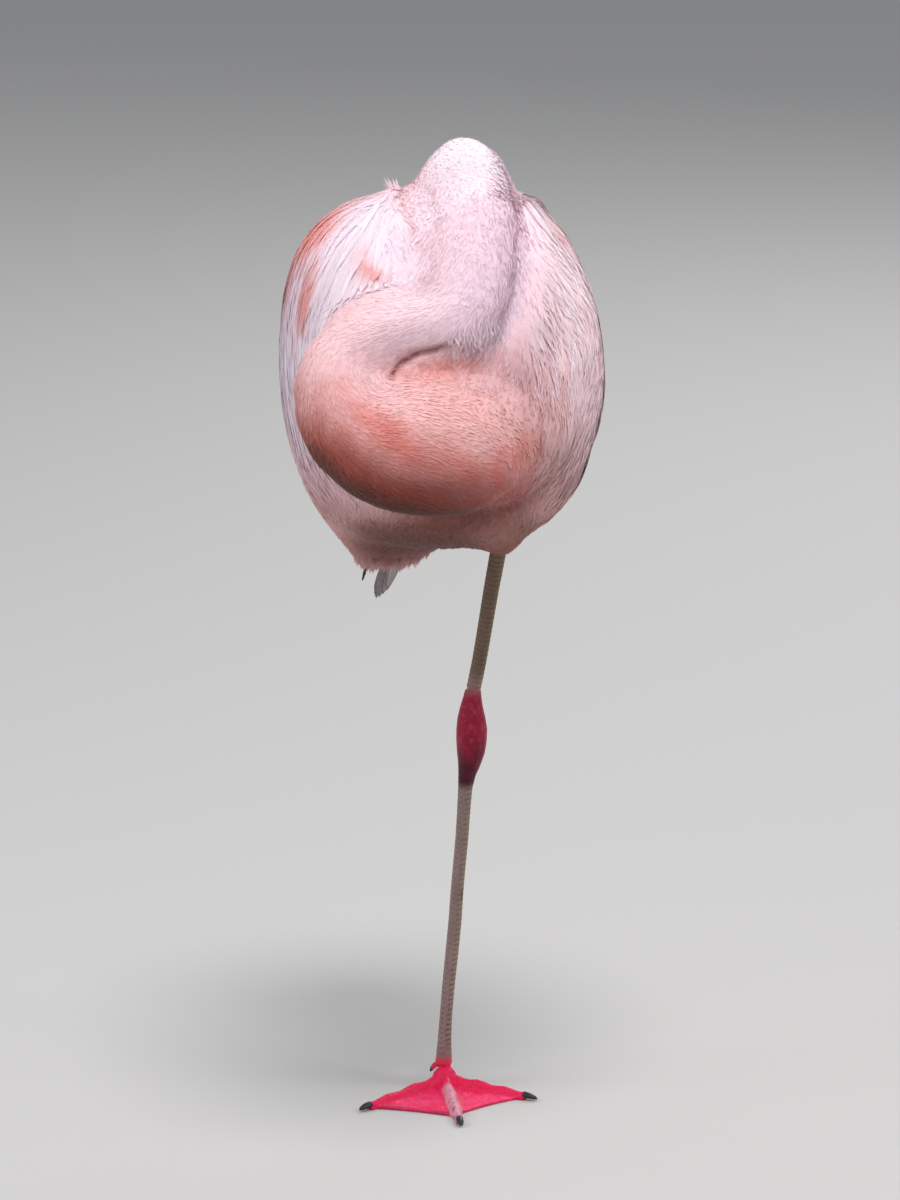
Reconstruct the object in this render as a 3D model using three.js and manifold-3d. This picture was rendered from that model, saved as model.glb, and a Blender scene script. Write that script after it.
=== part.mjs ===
// A Chilean flamingo (Phoenicopterus chilensis) asleep on its left leg, life size, in millimetres, +Z up.
// The origin is on the floor under the ankle bone's lower end, where the shank meets the foot; the bird looks along -Y.
// Every piece is one closed solid out to the tips of its plumage; neighbours are parted by thin cuts of GAP.
import * as THREE from 'three';
import Module from 'manifold-3d';
import { mergeVertices } from 'three/addons/utils/BufferGeometryUtils.js';

const wasm = await Module();
wasm.setup();

// ---------------------------------------------------------------- driving sizes
const GAP = 0.34; // cut between two pieces that touch

// trunk: an egg along a slanting axis, seen from the side in (s = back along the body, z = up)
const BODY_YAW = 17; // degrees that the tail is turned to the bird's right of straight back
const BODY_LEAN = 5.5; // degrees that the back leans to the bird's right, about the level LEAN_Z
const LEAN_Z = 490;
const BODY_SWAY = 6; // how far the rump bends to the bird's right, 110 mm behind SWAY_FROM
const SWAY_FROM = 45;
const BODY_MID = { x: -4, y: -32 }; // where the body's own middle plane crosses s = 0
const BODY_FRONT = { s: -78, z: 589 }; // shoulder end of the axis
const BODY_REAR = { s: 164, z: 319 }; // vent end of the axis
const BODY_SQUARE = 2.6; // how full the cross-section is (2 is an ellipse)
const BODY_K = [0, 0.05, 0.12, 0.23, 0.37, 0.5, 0.6, 0.7, 0.82, 1];
const BODY_HALF_WIDTH = [103, 110, 110, 105.5, 98.5, 92, 86.5, 77.5, 59, 34];
const BODY_DORSAL = [111.5, 111.5, 110.5, 107, 99, 91, 86, 80, 70, 48];
const BODY_VENTRAL = [104, 107, 128, 131, 127, 110, 90, 62, 37, 26];

// folded wings: shells laid on the trunk's sides
const WING_PROUD = 2.5; // how far the wing's plumage stands out of the trunk's
const WING_THICK = 8; // least depth of the shell under the trunk's surface
const WING_INNER_FRONT = 36; // distance of the inner edge from the middle plane, at the shoulder
const WING_INNER_REAR = 5; // and over the rump
const WING_EDGE = [[-66, 645], [-104, 566], [-98, 518], [-66, 468], [-8, 424], [60, 386], [120, 350], [170, 305], [200, 306], [250, 645]];
const PRIMARY = { root: [104, 392, 19], tip: [174, 310, 10], width: 14, thick: 3.4 };
const TAIL = { root: [132, 349], tip: [190, 292], side: 4, rootWidth: 16, tipWidth: 6, rootThick: 9, tipThick: 2 };
const THIGH_PATH = [[24, -44, 428], [34, -37, 398], [34.5, -32, 382], [32.8, -28, 366]]; // feathered thigh of the standing leg
const THIGH_RADIUS = [38, 30, 20, 11.5];

// neck: centre line from the breast, round the bird's right side and up to the nape, with its radius
const NECK_PATH = [
  [34, -108, 467], [9, -142, 466], [-25, -162, 471], [-51, -162, 480], [-65, -155, 500],
  [-61, -147, 519], [-40, -146, 532], [-10, -149, 542], [7.5, -143, 551], [14.5, -129, 565.5], [16, -113, 582], [17, -99, 595], [17, -86, 604],
];
const NECK_RADIUS = [34, 46.5, 46.5, 41, 35, 31, 28.5, 26.5, 28, 30, 31, 30.5, 27];
const NECK_STEPS = 22;
const BREAST = { at: [21, -104, 468], radii: [63, 58, 53] }; // the swelling that the neck rises from
const NECK_CUTS = [5, 10, 15]; // the lengths are parted after these steps

// head and bill
const HEAD_AT = [7, -72, 612.5];
const HEAD_FORWARD = [-0.86, 0.45, -0.25]; // where the face points: back over the bird's right shoulder
const HEAD_TILT = 2; // the crown leans this many degrees away from the breast
const HEAD = { back: -37, front: 40, halfWidth: 28, top: 38.5, bottom: 37, peak: 8 }; // the crown is highest this far behind the middle
const EYE_RADIUS = 5;
const EYE_AT = { forward: 1, side: 23.2, up: 3 };
const BILL = { start: 37, length: 92, width: 13.5, height: 16.5 };

// legs
const TIBIA_PATH = [[17.3, 6.3, 269], [20, 2, 283], [24, -7, 309], [28.2, -16, 338], [32.6, -27, 366], [36, -36, 388]];
const TIBIA_RADIUS = [4.9, 4.9, 4.95, 5.15, 5.4, 5.6];
const ANKLE_PATH = [[12.3, 5, 205], [13.4, 5.5, 213], [15.2, 7, 222], [16, 8, 232], [16.2, 8.2, 242], [15.9, 7.8, 252], [16.6, 7, 262], [17.1, 6.6, 267.6]];
const ANKLE_WIDTH = [5.2, 6.2, 8.6, 10.1, 10.3, 8.6, 6.3, 5.4];
const ANKLE_DEPTH = [6.6, 8.2, 11.2, 12.8, 12.6, 11, 8.2, 6.8];
const TARSUS_PATH = [[-2.2, 0, 15], [-1.2, 0.4, 40], [1.2, 1, 71], [5, 2, 108], [6.9, 2.7, 137], [9.6, 3.6, 166], [11.3, 4.4, 192], [12.2, 5, 204.6]];
const TARSUS_WIDTH = [5.7, 4.2, 4.3, 4.5, 4.3, 4.4, 4.5, 5];
const TARSUS_DEPTH = [7.4, 5.6, 5.5, 5.6, 5.7, 5.8, 6.1, 6.6];
const SHANK_FOLDED = { ankle: [122, 357, 0], front: [0, 426, -26] }; // s, z and side
const TOES = { inner: { angle: -45, length: 70 }, middle: { angle: 7, length: 80 }, outer: { angle: 62, length: 60 } };
const TOE_WIDTH = 5.2; // half width of a toe at its root
const WEB_THICK = 2.2;
const CLAW_LENGTH = 9;

// ---------------------------------------------------------------- plumage and skin colours
const coat = (hex, roughness = 0.85) => new THREE.MeshStandardMaterial({ color: hex, roughness, metalness: 0 });
const PINK = 0xf0b3a6, PALE = 0xf6d3d0, CORAL = 0xe58474, ROSE = 0xf3c4c0;
const HORN = 0x26242a, LEG = 0x8d7474, JOINT = 0xa32249, WEB = 0xd63a55, EYE = 0xd9c27a;

// ---------------------------------------------------------------- geometry helpers
// Value of a short table at x, read as a smooth curve through its entries.
function along(xs, ys, x) {
  let i = 0;
  while (i < xs.length - 2 && x > xs[i + 1]) i++;
  const t = Math.min(1, Math.max(0, (x - xs[i]) / (xs[i + 1] - xs[i])));
  const slope = (j) => {
    if (j <= 0 || j >= xs.length - 1) return 0;
    const a = (ys[j] - ys[j - 1]) / (xs[j] - xs[j - 1]), b = (ys[j + 1] - ys[j]) / (xs[j + 1] - xs[j]);
    return a * b <= 0 ? 0 : (2 * a * b) / (a + b);
  };
  const h = xs[i + 1] - xs[i], t2 = t * t, t3 = t2 * t;
  return (2 * t3 - 3 * t2 + 1) * ys[i] + (t3 - 2 * t2 + t) * h * slope(i) + (-2 * t3 + 3 * t2) * ys[i + 1] + (t3 - t2) * h * slope(i + 1);
}
const evenly = (ys, t) => along(ys.map((_, i) => i / (ys.length - 1)), ys, t);
const rad = THREE.MathUtils.degToRad;
const vec = (a) => new THREE.Vector3(a[0], a[1], a[2]);

// A closed mesh geometry as a solid, turned to face outwards.
function solid(geometry) {
  const g = geometry.clone();
  for (const name of ['normal', 'uv', 'uv1', 'color']) g.deleteAttribute(name);
  const merged = mergeVertices(g, 1e-4);
  const index = Array.from(merged.index.array), p = merged.attributes.position;
  const kept = [];
  let volume = 0;
  const a = new THREE.Vector3(), b = new THREE.Vector3(), c = new THREE.Vector3();
  for (let i = 0; i < index.length; i += 3) {
    const [u, v, w] = [index[i], index[i + 1], index[i + 2]];
    if (u === v || v === w || u === w) continue;
    kept.push(u, v, w);
    volume += a.fromBufferAttribute(p, u).dot(b.fromBufferAttribute(p, v).cross(c.fromBufferAttribute(p, w)));
  }
  if (volume < 0) for (let i = 0; i < kept.length; i += 3) [kept[i + 1], kept[i + 2]] = [kept[i + 2], kept[i + 1]];
  return new wasm.Manifold(new wasm.Mesh({ numProp: 3, vertProperties: new Float32Array(p.array), triVerts: new Uint32Array(kept) }));
}

// The largest body of a solid, as a geometry.
function geometryOf(made) {
  const largest = (m) => m.decompose().sort((p, q) => q.volume() - p.volume())[0];
  const whole = largest(made);
  const m = largest(whole.simplify(whole.volume() > 1e5 ? 0.15 : 0.06)).getMesh();
  const g = new THREE.BufferGeometry();
  g.setAttribute('position', new THREE.BufferAttribute(new Float32Array(m.vertProperties), 3));
  g.setIndex(new THREE.BufferAttribute(new Uint32Array(m.triVerts), 1));
  g.computeVertexNormals();
  return g;
}

// A sphere whose rings become cross-sections: place(k, a) is the point of ring k (0 to 1) at angle a.
function ringed(around, rings, place) {
  const g = new THREE.SphereGeometry(1, around, rings), p = g.attributes.position;
  for (let j = 0; j <= rings; j++)
    for (let i = 0; i <= around; i++) {
      const q = place(j / rings, (2 * Math.PI * (i % around)) / around);
      p.setXYZ(j * (around + 1) + i, q.x, q.y, q.z);
    }
  return solid(g);
}

// A capped cylinder bent along a path: half(t) gives [half width, half depth], ref is the depth direction.
// open leaves that much room before the first section.
function tube(path, half, { ref = [0, 1, 0], around = 16, steps = 12, from = 0, to = 1, grow = 0, open = 0, shape = 2 } = {}) {
  const curve = path instanceof THREE.Curve ? path : new THREE.CatmullRomCurve3(path.map(vec), false, 'centripetal');
  const g = new THREE.CylinderGeometry(1, 1, 1, around, steps), p = g.attributes.position, R = vec(ref);
  for (let i = 0; i < p.count; i++) {
    const t = from + (to - from) * (0.5 - p.getY(i));
    const c = curve.getPoint(t), T = curve.getTangent(t).normalize();
    const D = R.clone().addScaledVector(T, -R.dot(T)).normalize(), W = new THREE.Vector3().crossVectors(T, D);
    const r = Math.hypot(p.getX(i), p.getZ(i)), a = Math.atan2(p.getX(i), p.getZ(i)), [w, d] = half(t);
    const n = r > 0.5 ? 1 / Math.pow(Math.pow(Math.abs(Math.cos(a)), shape) + Math.pow(Math.abs(Math.sin(a)), shape), 1 / shape) : 0;
    const q = c.addScaledVector(W, n * (w + grow) * Math.cos(a)).addScaledVector(D, n * (d + grow) * Math.sin(a));
    if (open && t - from < 1e-6) q.addScaledVector(T, open);
    if (grow > 0 && to - t < 1e-6) q.addScaledVector(T, grow);
    p.setXYZ(i, q.x, q.y, q.z);
  }
  return solid(g);
}

// ---------------------------------------------------------------- trunk
const yaw = rad(BODY_YAW);
const BACK = new THREE.Vector3(-Math.sin(yaw), Math.cos(yaw), 0); // towards the tail
const LEFT = new THREE.Vector3(Math.cos(yaw), Math.sin(yaw), 0); // towards the bird's left
const UP = new THREE.Vector3(0, 0, 1);
const inBody = (s, z, side) => {
  side -= BODY_SWAY * Math.pow(Math.max(0, s - SWAY_FROM) / 110, 2);
  side -= (z - LEAN_Z) * Math.tan(rad(BODY_LEAN));
  return new THREE.Vector3(BODY_MID.x, BODY_MID.y, z).addScaledVector(BACK, s).addScaledVector(LEFT, side);
};
const axisLength = Math.hypot(BODY_REAR.s - BODY_FRONT.s, BODY_REAR.z - BODY_FRONT.z);
const axisS = (BODY_REAR.s - BODY_FRONT.s) / axisLength, axisZ = (BODY_REAR.z - BODY_FRONT.z) / axisLength;

function trunkShape(grow, around = 26, rings = 18) {
  return ringed(around, rings, (j, a) => {
    const phi = Math.PI * j, k0 = (1 - Math.cos(phi)) / 2, ends = grow / axisLength;
    const k = -ends + k0 * (1 + 2 * ends);
    const round = Math.sin(phi), c = Math.cos(a), s = Math.sin(a);
    const w = along(BODY_K, BODY_HALF_WIDTH, k0) * Math.pow(round, 0.5) + grow * Math.pow(round, 0.3);
    const d = along(BODY_K, s > 0 ? BODY_DORSAL : BODY_VENTRAL, k0) * Math.pow(round, 0.85) + grow * Math.pow(round, 0.3);
    const n = 1 / Math.pow(Math.pow(Math.abs(c), BODY_SQUARE) + Math.pow(Math.abs(s), BODY_SQUARE), 1 / BODY_SQUARE);
    const u = k * axisLength, up = j === 0 || j === 1 ? 0 : n * d * s, side = j === 0 || j === 1 ? 0 : n * w * c;
    return inBody(BODY_FRONT.s + axisS * u - axisZ * up, BODY_FRONT.z + axisZ * u + axisS * up, side);
  });
}

// ---------------------------------------------------------------- wings, flight feathers and tail
// A slab over one side of the bird, cut to the wing's outline as seen from the side.
function wingSlab(sign, grow) {
  const mid = [WING_EDGE.reduce((m, p) => m + p[0], 0) / WING_EDGE.length, WING_EDGE.reduce((m, p) => m + p[1], 0) / WING_EDGE.length];
  const pts = WING_EDGE.map(([s, z]) => {
    const l = Math.hypot(s - mid[0], z - mid[1]);
    return new THREE.Vector2(s + (grow * (s - mid[0])) / l, z + (grow * (z - mid[1])) / l);
  });
  const shape = new THREE.Shape();
  shape.moveTo(pts[0].x, pts[0].y);
  shape.splineThru(pts.slice(1, 8));
  shape.lineTo(pts[8].x, pts[8].y);
  shape.lineTo(pts[9].x, pts[9].y);
  shape.closePath();
  const g = new THREE.ExtrudeGeometry(shape, { depth: 1, bevelEnabled: false, curveSegments: 4 });
  const p = g.attributes.position;
  for (let i = 0; i < p.count; i++) {
    const s = p.getX(i), z = p.getY(i), outer = p.getZ(i) > 0.5;
    const inner = along([-80, 120], [WING_INNER_FRONT, WING_INNER_REAR], s) - grow;
    const q = inBody(s, z, sign * (outer ? 170 : inner));
    p.setXYZ(i, q.x, q.y, q.z);
  }
  return solid(g);
}

// A blade of stacked flight feathers from root to tip, thin in the direction lie.
function blade(root, tip, halfWidth, halfThick, ref, grow = 0, steps = 5) {
  return tube([root, root.clone().lerp(tip, 0.5), tip].map((v) => v.toArray()), (t) => [halfWidth(t), halfThick(t)], { ref: ref.toArray(), around: 10, steps, grow });
}
const primaryBlade = (sign, grow) => {
  const [rs, rz, rl] = PRIMARY.root, [ts, tz, tl] = PRIMARY.tip;
  return blade(inBody(rs, rz, sign * rl), inBody(ts, tz, sign * tl), (t) => PRIMARY.width * (1 - 0.86 * Math.pow(t, 2.2)), (t) => PRIMARY.thick * (1 - 0.62 * t),
    LEFT.clone().multiplyScalar(sign).addScaledVector(UP, 0.25), grow);
};
const tailBlade = (grow) =>
  blade(inBody(TAIL.root[0], TAIL.root[1], TAIL.side), inBody(TAIL.tip[0], TAIL.tip[1], TAIL.side),
    (t) => (t < 0.82 ? TAIL.rootWidth + (TAIL.tipWidth - TAIL.rootWidth) * t : TAIL.tipWidth * Math.sqrt(Math.max(0.05, 1 - Math.pow((t - 0.82) / 0.19, 2)))),
    (t) => TAIL.rootThick + (TAIL.tipThick - TAIL.rootThick) * Math.pow(t, 0.7), new THREE.Vector3().copy(BACK).addScaledVector(UP, 1), grow, 8);

// ---------------------------------------------------------------- neck
const neckCurve = new THREE.CatmullRomCurve3(NECK_PATH.map(vec), false, 'centripetal');
const stations = Array.from({ length: NECK_STEPS + 1 }, (_, i) => {
  const t = i / NECK_STEPS;
  return { c: neckCurve.getPoint(t), T: neckCurve.getTangent(t).normalize(), r: evenly(NECK_RADIUS, t) };
});
// Inside a sharp bend the plumage is pressed flat, so that one section never crosses the next.
function neckReach(i, u) {
  const { c, T, r } = stations[i];
  let reach = r;
  for (const j of [i - 1, i + 1].filter((k) => k >= 0 && k <= NECK_STEPS)) {
    const turn = T.angleTo(stations[j].T), inward = stations[j].T.clone().sub(T).multiplyScalar(j > i ? 1 : -1);
    inward.addScaledVector(T, -inward.dot(T)).normalize();
    if (turn > 0.05 && u.dot(inward) > 0.1) reach = Math.min(reach, (0.8 * c.distanceTo(stations[j].c)) / turn / u.dot(inward));
  }
  return reach;
}
function neckLength(from, to, grow, open = 0) {
  const around = 15, g = new THREE.CylinderGeometry(1, 1, 1, around, to - from), p = g.attributes.position;
  for (let i = 0; i < p.count; i++) {
    const k = Math.round(from + (to - from) * (0.5 - p.getY(i))), { c, T } = stations[k];
    const D = new THREE.Vector3(0, 1, 0).addScaledVector(T, -T.y).normalize(), W = new THREE.Vector3().crossVectors(T, D);
    const full = Math.hypot(p.getX(i), p.getZ(i)) > 0.5, a = (Math.round((Math.atan2(p.getX(i), p.getZ(i)) * around) / (2 * Math.PI)) * 2 * Math.PI) / around;
    const u = W.multiplyScalar(Math.cos(a)).addScaledVector(D, Math.sin(a));
    const q = c.clone().addScaledVector(u, full ? neckReach(k, u) + grow : 0);
    if (open && k === from) q.addScaledVector(T, open);
    if (grow > 0 && k === to) q.addScaledVector(T, grow);
    p.setXYZ(i, q.x, q.y, q.z);
  }
  return solid(g);
}
const breast = (grow) => {
  const g = new THREE.SphereGeometry(1, 18, 10);
  g.scale(...BREAST.radii.map((r) => r + grow)).translate(...BREAST.at);
  return solid(g);
};

// ---------------------------------------------------------------- head and bill
const F = vec(HEAD_FORWARD).normalize();
const HUP = UP.clone().addScaledVector(F, -UP.dot(F)).normalize().applyAxisAngle(F, rad(HEAD_TILT));
const HLEFT = new THREE.Vector3().crossVectors(HUP, F);
const inHead = (x, y, z) => vec(HEAD_AT).addScaledVector(F, x).addScaledVector(HLEFT, y).addScaledVector(HUP, z);

function headShape(grow) {
  return ringed(18, 10, (j, a) => {
    const phi = Math.PI * j, k = (1 - Math.cos(phi)) / 2, c = Math.cos(a), s = Math.sin(a);
    const x = HEAD.back - grow + k * (HEAD.front - HEAD.back + 2 * grow);
    const e = Math.pow(Math.sin(phi), s > 0 ? 0.8 + 0.55 * s : 0.8);
    const w = HEAD.halfWidth * along([0, 0.45, 0.75, 1], [1, 1, 0.8, 0.62], k) * e + grow * e;
    const up = (s > 0 ? HEAD.top * along([0, 0.45, 0.75, 1], [1, 1, 0.88, 0.62], k) : HEAD.bottom * along([0, 0.45, 0.75, 1], [0.95, 1, 0.92, 0.75], k)) * e + grow * e;
    return inHead(x - (s > 0 ? HEAD.peak * s * s * e : 0), w * c, up * s);
  });
}

// The bill runs out level, then turns sharply down at its middle to a blunt hooked tip.
const billPath = new THREE.CatmullRomCurve3(
  [[0, 0], [0.22, -0.02], [0.42, -0.09], [0.6, -0.27], [0.76, -0.5], [0.88, -0.7]].map(([x, z]) => inHead(BILL.start - 12 + x * (BILL.length + 12), 0, -5 + z * BILL.length)), false, 'centripetal');
function billHalf(upper, grow) {
  const g = new THREE.CylinderGeometry(1, 1, 1, 12, 7), p = g.attributes.position;
  for (let i = 0; i < p.count; i++) {
    const t = 0.5 - p.getY(i), c0 = billPath.getPoint(t), T = billPath.getTangent(t).normalize();
    const up = new THREE.Vector3().crossVectors(T, HLEFT).normalize();
    if (up.dot(HUP) < 0) up.negate();
    const r = Math.hypot(p.getX(i), p.getZ(i)), a = Math.atan2(p.getX(i), p.getZ(i));
    const w = BILL.width * evenly(upper ? [1, 0.94, 0.8, 0.66, 0.52, 0.3] : [0.96, 0.96, 0.95, 0.9, 0.66, 0.36], t);
    const h = BILL.height * evenly(upper ? [0.95, 0.78, 0.55, 0.42, 0.36, 0.24] : [0.72, 0.86, 1.0, 0.96, 0.7, 0.3], t);
    const keep = upper ? Math.max(0, Math.sin(a)) : Math.max(0, -Math.sin(a));
    const y = r < 0.5 ? (grow ? 0 : (GAP / 2 + 0.1)) : keep * (h + 2.5 * grow) + (grow ? -grow : GAP / 2);
    const q = c0.addScaledVector(HLEFT, r * (w + grow) * Math.cos(a)).addScaledVector(up, upper ? y : -y);
    if (grow && t < 1e-6) q.addScaledVector(T, -grow);
    if (grow && t > 1 - 1e-6) q.addScaledVector(T, grow);
    p.setXYZ(i, q.x, q.y, q.z);
  }
  return solid(g);
}
// Full outline of the closed bill, both halves, for cutting its bed in the plumage.
const billBed = (grow) => billHalf(true, grow).add(billHalf(false, grow));
const eyeBall = (sign, grow) => {
  const at = inHead(EYE_AT.forward, sign * EYE_AT.side, EYE_AT.up);
  const g = new THREE.SphereGeometry(EYE_RADIUS + grow, 10, 7);
  g.translate(at.x, at.y, at.z);
  return solid(g);
};

// ---------------------------------------------------------------- legs and feet
const pair = (ws, ds) => (t) => [evenly(ws, t), evenly(ds, t)];

// A toe lying on the floor: domed on top, flat underneath, with a bulge at each joint.
function toeShape(angle, length, width, grow = 0, start = 9) {
  const dir = new THREE.Vector3(Math.sin(rad(angle)), -Math.cos(rad(angle)), 0), side = new THREE.Vector3(-dir.y, dir.x, 0);
  const base = new THREE.Vector3(-1.5, -4, 0);
  const g = new THREE.CylinderGeometry(1, 1, 1, 12, 10), p = g.attributes.position;
  for (let i = 0; i < p.count; i++) {
    const t = 0.5 - p.getY(i), r = Math.hypot(p.getX(i), p.getZ(i)), a = Math.atan2(p.getX(i), p.getZ(i));
    const bulge = 1 + 0.1 * Math.cos(2 * Math.PI * (t * 2.6 + 0.15));
    const w = width * (1 - 0.38 * t) * bulge + grow, h = 9.4 * (1 - 0.42 * t) * bulge + grow;
    const at = start + t * (length - start) + (t > 0.999 ? grow : t < 0.001 ? -grow : 0);
    const z = r < 0.5 ? h * 0.4 : Math.max(0, Math.sin(a)) * h;
    const q = base.clone().addScaledVector(dir, at).addScaledVector(side, r * w * Math.cos(a) * (Math.sin(a) < -0.01 ? 0.86 : 1));
    q.z = z - (grow && z < 0.01 ? grow : 0);
    p.setXYZ(i, q.x, q.y, q.z);
  }
  return solid(g);
}
function clawShape(angle, length, tipDrop = 0.4) {
  const dir = new THREE.Vector3(Math.sin(rad(angle)), -Math.cos(rad(angle)), 0);
  const base = new THREE.Vector3(-1.5, -4, 0);
  const at = (d, z) => base.clone().addScaledVector(dir, length + GAP + d).setZ(z).toArray();
  return tube([at(0, 3), at(CLAW_LENGTH * 0.5, 3), at(CLAW_LENGTH, 1.2 + tipDrop)], (t) => [2.5 * (1 - 0.8 * t * t), 1.9 * (1 - 0.62 * t)], { ref: [0, 0, 1], around: 8, steps: 3 });
}
// A web between two toes: its front edge hangs back in a shallow curve between them.
function webShape(toeA, toeB, reachA, reachB, sag) {
  const base = new THREE.Vector2(-1.5, -4);
  const at = (angle, r) => new THREE.Vector2(base.x + Math.sin(rad(angle)) * r, base.y - Math.cos(rad(angle)) * r);
  const a = at(toeA.angle, toeA.length * reachA), b = at(toeB.angle, toeB.length * reachB);
  const m = a.clone().add(b).multiplyScalar(0.5).lerp(base, sag);
  const shape = new THREE.Shape();
  shape.moveTo(base.x, base.y);
  shape.lineTo(a.x, a.y);
  shape.quadraticCurveTo(m.x, m.y, b.x, b.y);
  shape.closePath();
  return solid(new THREE.ExtrudeGeometry(shape, { depth: WEB_THICK, bevelEnabled: false, curveSegments: 16 }));
}
// The rounded joint where the toes leave the shank, flat underneath.
function footRoot(grow = 0) {
  return ringed(16, 10, (j, a) => {
    const phi = Math.PI * j, r = j === 0 || j === 1 ? 0 : Math.sin(phi), floor = grow ? -grow : 0;
    const z = Math.max(floor, 3.6 + (11 + grow) * Math.cos(phi));
    return new THREE.Vector3(-1.5 + (9 + grow) * r * Math.cos(a), -4 + (9.5 + grow) * r * Math.sin(a), j === 1 ? floor : z);
  });
}

// ---------------------------------------------------------------- build
const made = {};
const colour = {};
const put = (name, body, material) => { made[name] = body; colour[name] = material; };
const cut = (body, ...tools) => tools.reduce((b, t) => b.subtract(t), body);

// head, with sockets for the eyes and the root of the bill
const billTool = billBed(GAP);
put('head', cut(headShape(0), eyeBall(1, GAP), eyeBall(-1, GAP), billTool), coat(ROSE));
put('bill_upper', billHalf(true, 0), coat(0xd9c6bf, 0.5));
put('bill_lower', billHalf(false, 0), coat(HORN, 0.5));
put('eye_left', eyeBall(1, 0), coat(EYE, 0.15));
put('eye_right', eyeBall(-1, 0), coat(EYE, 0.15));

// neck, in four lengths
const [c1, c2, c3] = NECK_CUTS;
const headTool = headShape(GAP);
const neckUpper = cut(neckLength(c3, NECK_STEPS, 0, GAP), headTool, billTool);
const neckMiddle = cut(neckLength(c2, c3, 0, GAP), headTool);
const neckLower = neckLength(c1, c2, 0, GAP);
const neckBase = cut(neckLength(0, c1, 0).add(breast(0)), neckLength(c1, NECK_STEPS, GAP));
put('neck_upper', neckUpper, coat(PALE));
put('neck_middle', neckMiddle, coat(PINK));
put('neck_lower', neckLower, coat(CORAL));
const neckWhole = neckLength(0, NECK_STEPS, GAP).add(breast(GAP));

// folded leg: it is drawn up in the belly plumage, the shank running forward from the ankle at the vent, the closed toes bent back under it
const shankFrom = inBody(...SHANK_FOLDED.ankle), shankTo = inBody(...SHANK_FOLDED.front);
const shankDir = shankTo.clone().sub(shankFrom).normalize();
const foldedAnkle = (grow) => ringed(10, 6, (j, a) => {
  const phi = Math.PI * j, r = Math.sin(phi);
  return shankFrom.clone().add(new THREE.Vector3((9.6 + grow) * r * Math.cos(a), (14 + grow) * r * Math.sin(a), (12.5 + grow) * Math.cos(phi)));
});
const foldedShank = (grow) => tube([shankFrom.clone().addScaledVector(shankDir, 8).toArray(), shankFrom.clone().lerp(shankTo, 0.5).toArray(), shankTo.toArray()],
  pair([5.4, 4.5, 4.4, 4.4, 5.2], [6.4, 5.7, 5.5, 5.5, 6.4]), { ref: [0, 0, 1], around: 8, steps: 4, grow });
const toeFrom = (side) => shankTo.clone().add(new THREE.Vector3(side * 4.6, 4, -8));
const toeTo = (side, length) => toeFrom(side).addScaledVector(BACK, length * 0.94).add(new THREE.Vector3(side * 5.5, 0, -length * 0.3));
const foldedToe = (side, length, grow) => tube([toeFrom(side).toArray(), toeFrom(side).lerp(toeTo(side, length), 0.5).add(new THREE.Vector3(0, 0, -2)).toArray(), toeTo(side, length).toArray()],
  (t) => [4.1 * (1 - 0.5 * t * t) + (1 - t), 4.2 * (1 - 0.5 * t * t)], { ref: [0, 0, 1], around: 8, steps: 3, grow });
const FOLDED_TOES = [[-1, 60], [0, 70], [1, 60]];
const foldedFoot = (grow) => FOLDED_TOES.reduce((m, [side, length]) => m.add(foldedToe(side, length, grow)), ringed(10, 6, (j, a) => {
  const phi = Math.PI * j, r = Math.sin(phi);
  return shankTo.clone().addScaledVector(shankDir, 3).add(new THREE.Vector3((8.5 + grow) * r * Math.cos(a), (9 + grow) * r * Math.sin(a), (9.5 + grow) * Math.cos(phi) - 3));
}));
const legBed = [foldedAnkle(GAP), foldedShank(GAP), foldedFoot(GAP)];
// wings and tail
const outer = trunkShape(WING_PROUD), under = trunkShape(-WING_THICK, 16, 10), bed = trunkShape(-WING_THICK - GAP, 16, 10);
const neckAll = [neckWhole, headTool, billTool, eyeBall(-1, GAP)];
for (const [name, sign] of [['left', 1], ['right', -1]]) {
  const wing = cut(outer.intersect(wingSlab(sign, 0)), under, primaryBlade(sign, GAP), tailBlade(GAP), ...neckAll, ...legBed);
  put(`wing_${name}`, wing, coat(PALE));
  put(`primaries_${name}`, primaryBlade(sign, 0).subtract(tailBlade(GAP)), coat(HORN, 0.6));
}
put('tail', cut(tailBlade(0), ...legBed), coat(0xdcd2d4));

// trunk, parted from everything that lies on it or comes out of it
const wingBeds = [1, -1].map((sign) => wingSlab(sign, GAP).subtract(bed));
const tibiaLeft = (grow) => tube(TIBIA_PATH, (t) => { const r = evenly(TIBIA_RADIUS, t); return [r, r * 1.08]; }, { around: 12, steps: 8, grow });
const thigh = tube(THIGH_PATH, (t) => { const r = evenly(THIGH_RADIUS, t); return [r, r]; }, { around: 16, steps: 7 });
const trunk = cut(trunkShape(0).add(thigh), ...wingBeds, primaryBlade(1, GAP), primaryBlade(-1, GAP), tailBlade(GAP), ...neckAll, ...legBed, tibiaLeft(GAP));
put('trunk', trunk, coat(ROSE));
put('neck_base', neckBase, coat(CORAL));

// standing leg
put('tibia_left', tibiaLeft(0), coat(LEG, 0.6));
put('ankle_left', tube(ANKLE_PATH, pair(ANKLE_WIDTH, ANKLE_DEPTH), { around: 12, steps: 9 }), coat(JOINT, 0.6));
put('shank_left', tube(TARSUS_PATH, pair(TARSUS_WIDTH, TARSUS_DEPTH), { around: 12, steps: 11 }), coat(LEG, 0.6));
const shankEndTool = tube(TARSUS_PATH, pair(TARSUS_WIDTH, TARSUS_DEPTH), { around: 12, steps: 11, grow: GAP });
put('foot_left', cut(footRoot(0), shankEndTool), coat(WEB, 0.55));
const rootTool = footRoot(GAP);
const toes = {}, toeTools = {};
for (const [name, t] of Object.entries(TOES)) {
  toes[name] = toeShape(t.angle, t.length, TOE_WIDTH).subtract(rootTool);
  toeTools[name] = toeShape(t.angle, t.length, TOE_WIDTH, GAP);
}
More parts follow.
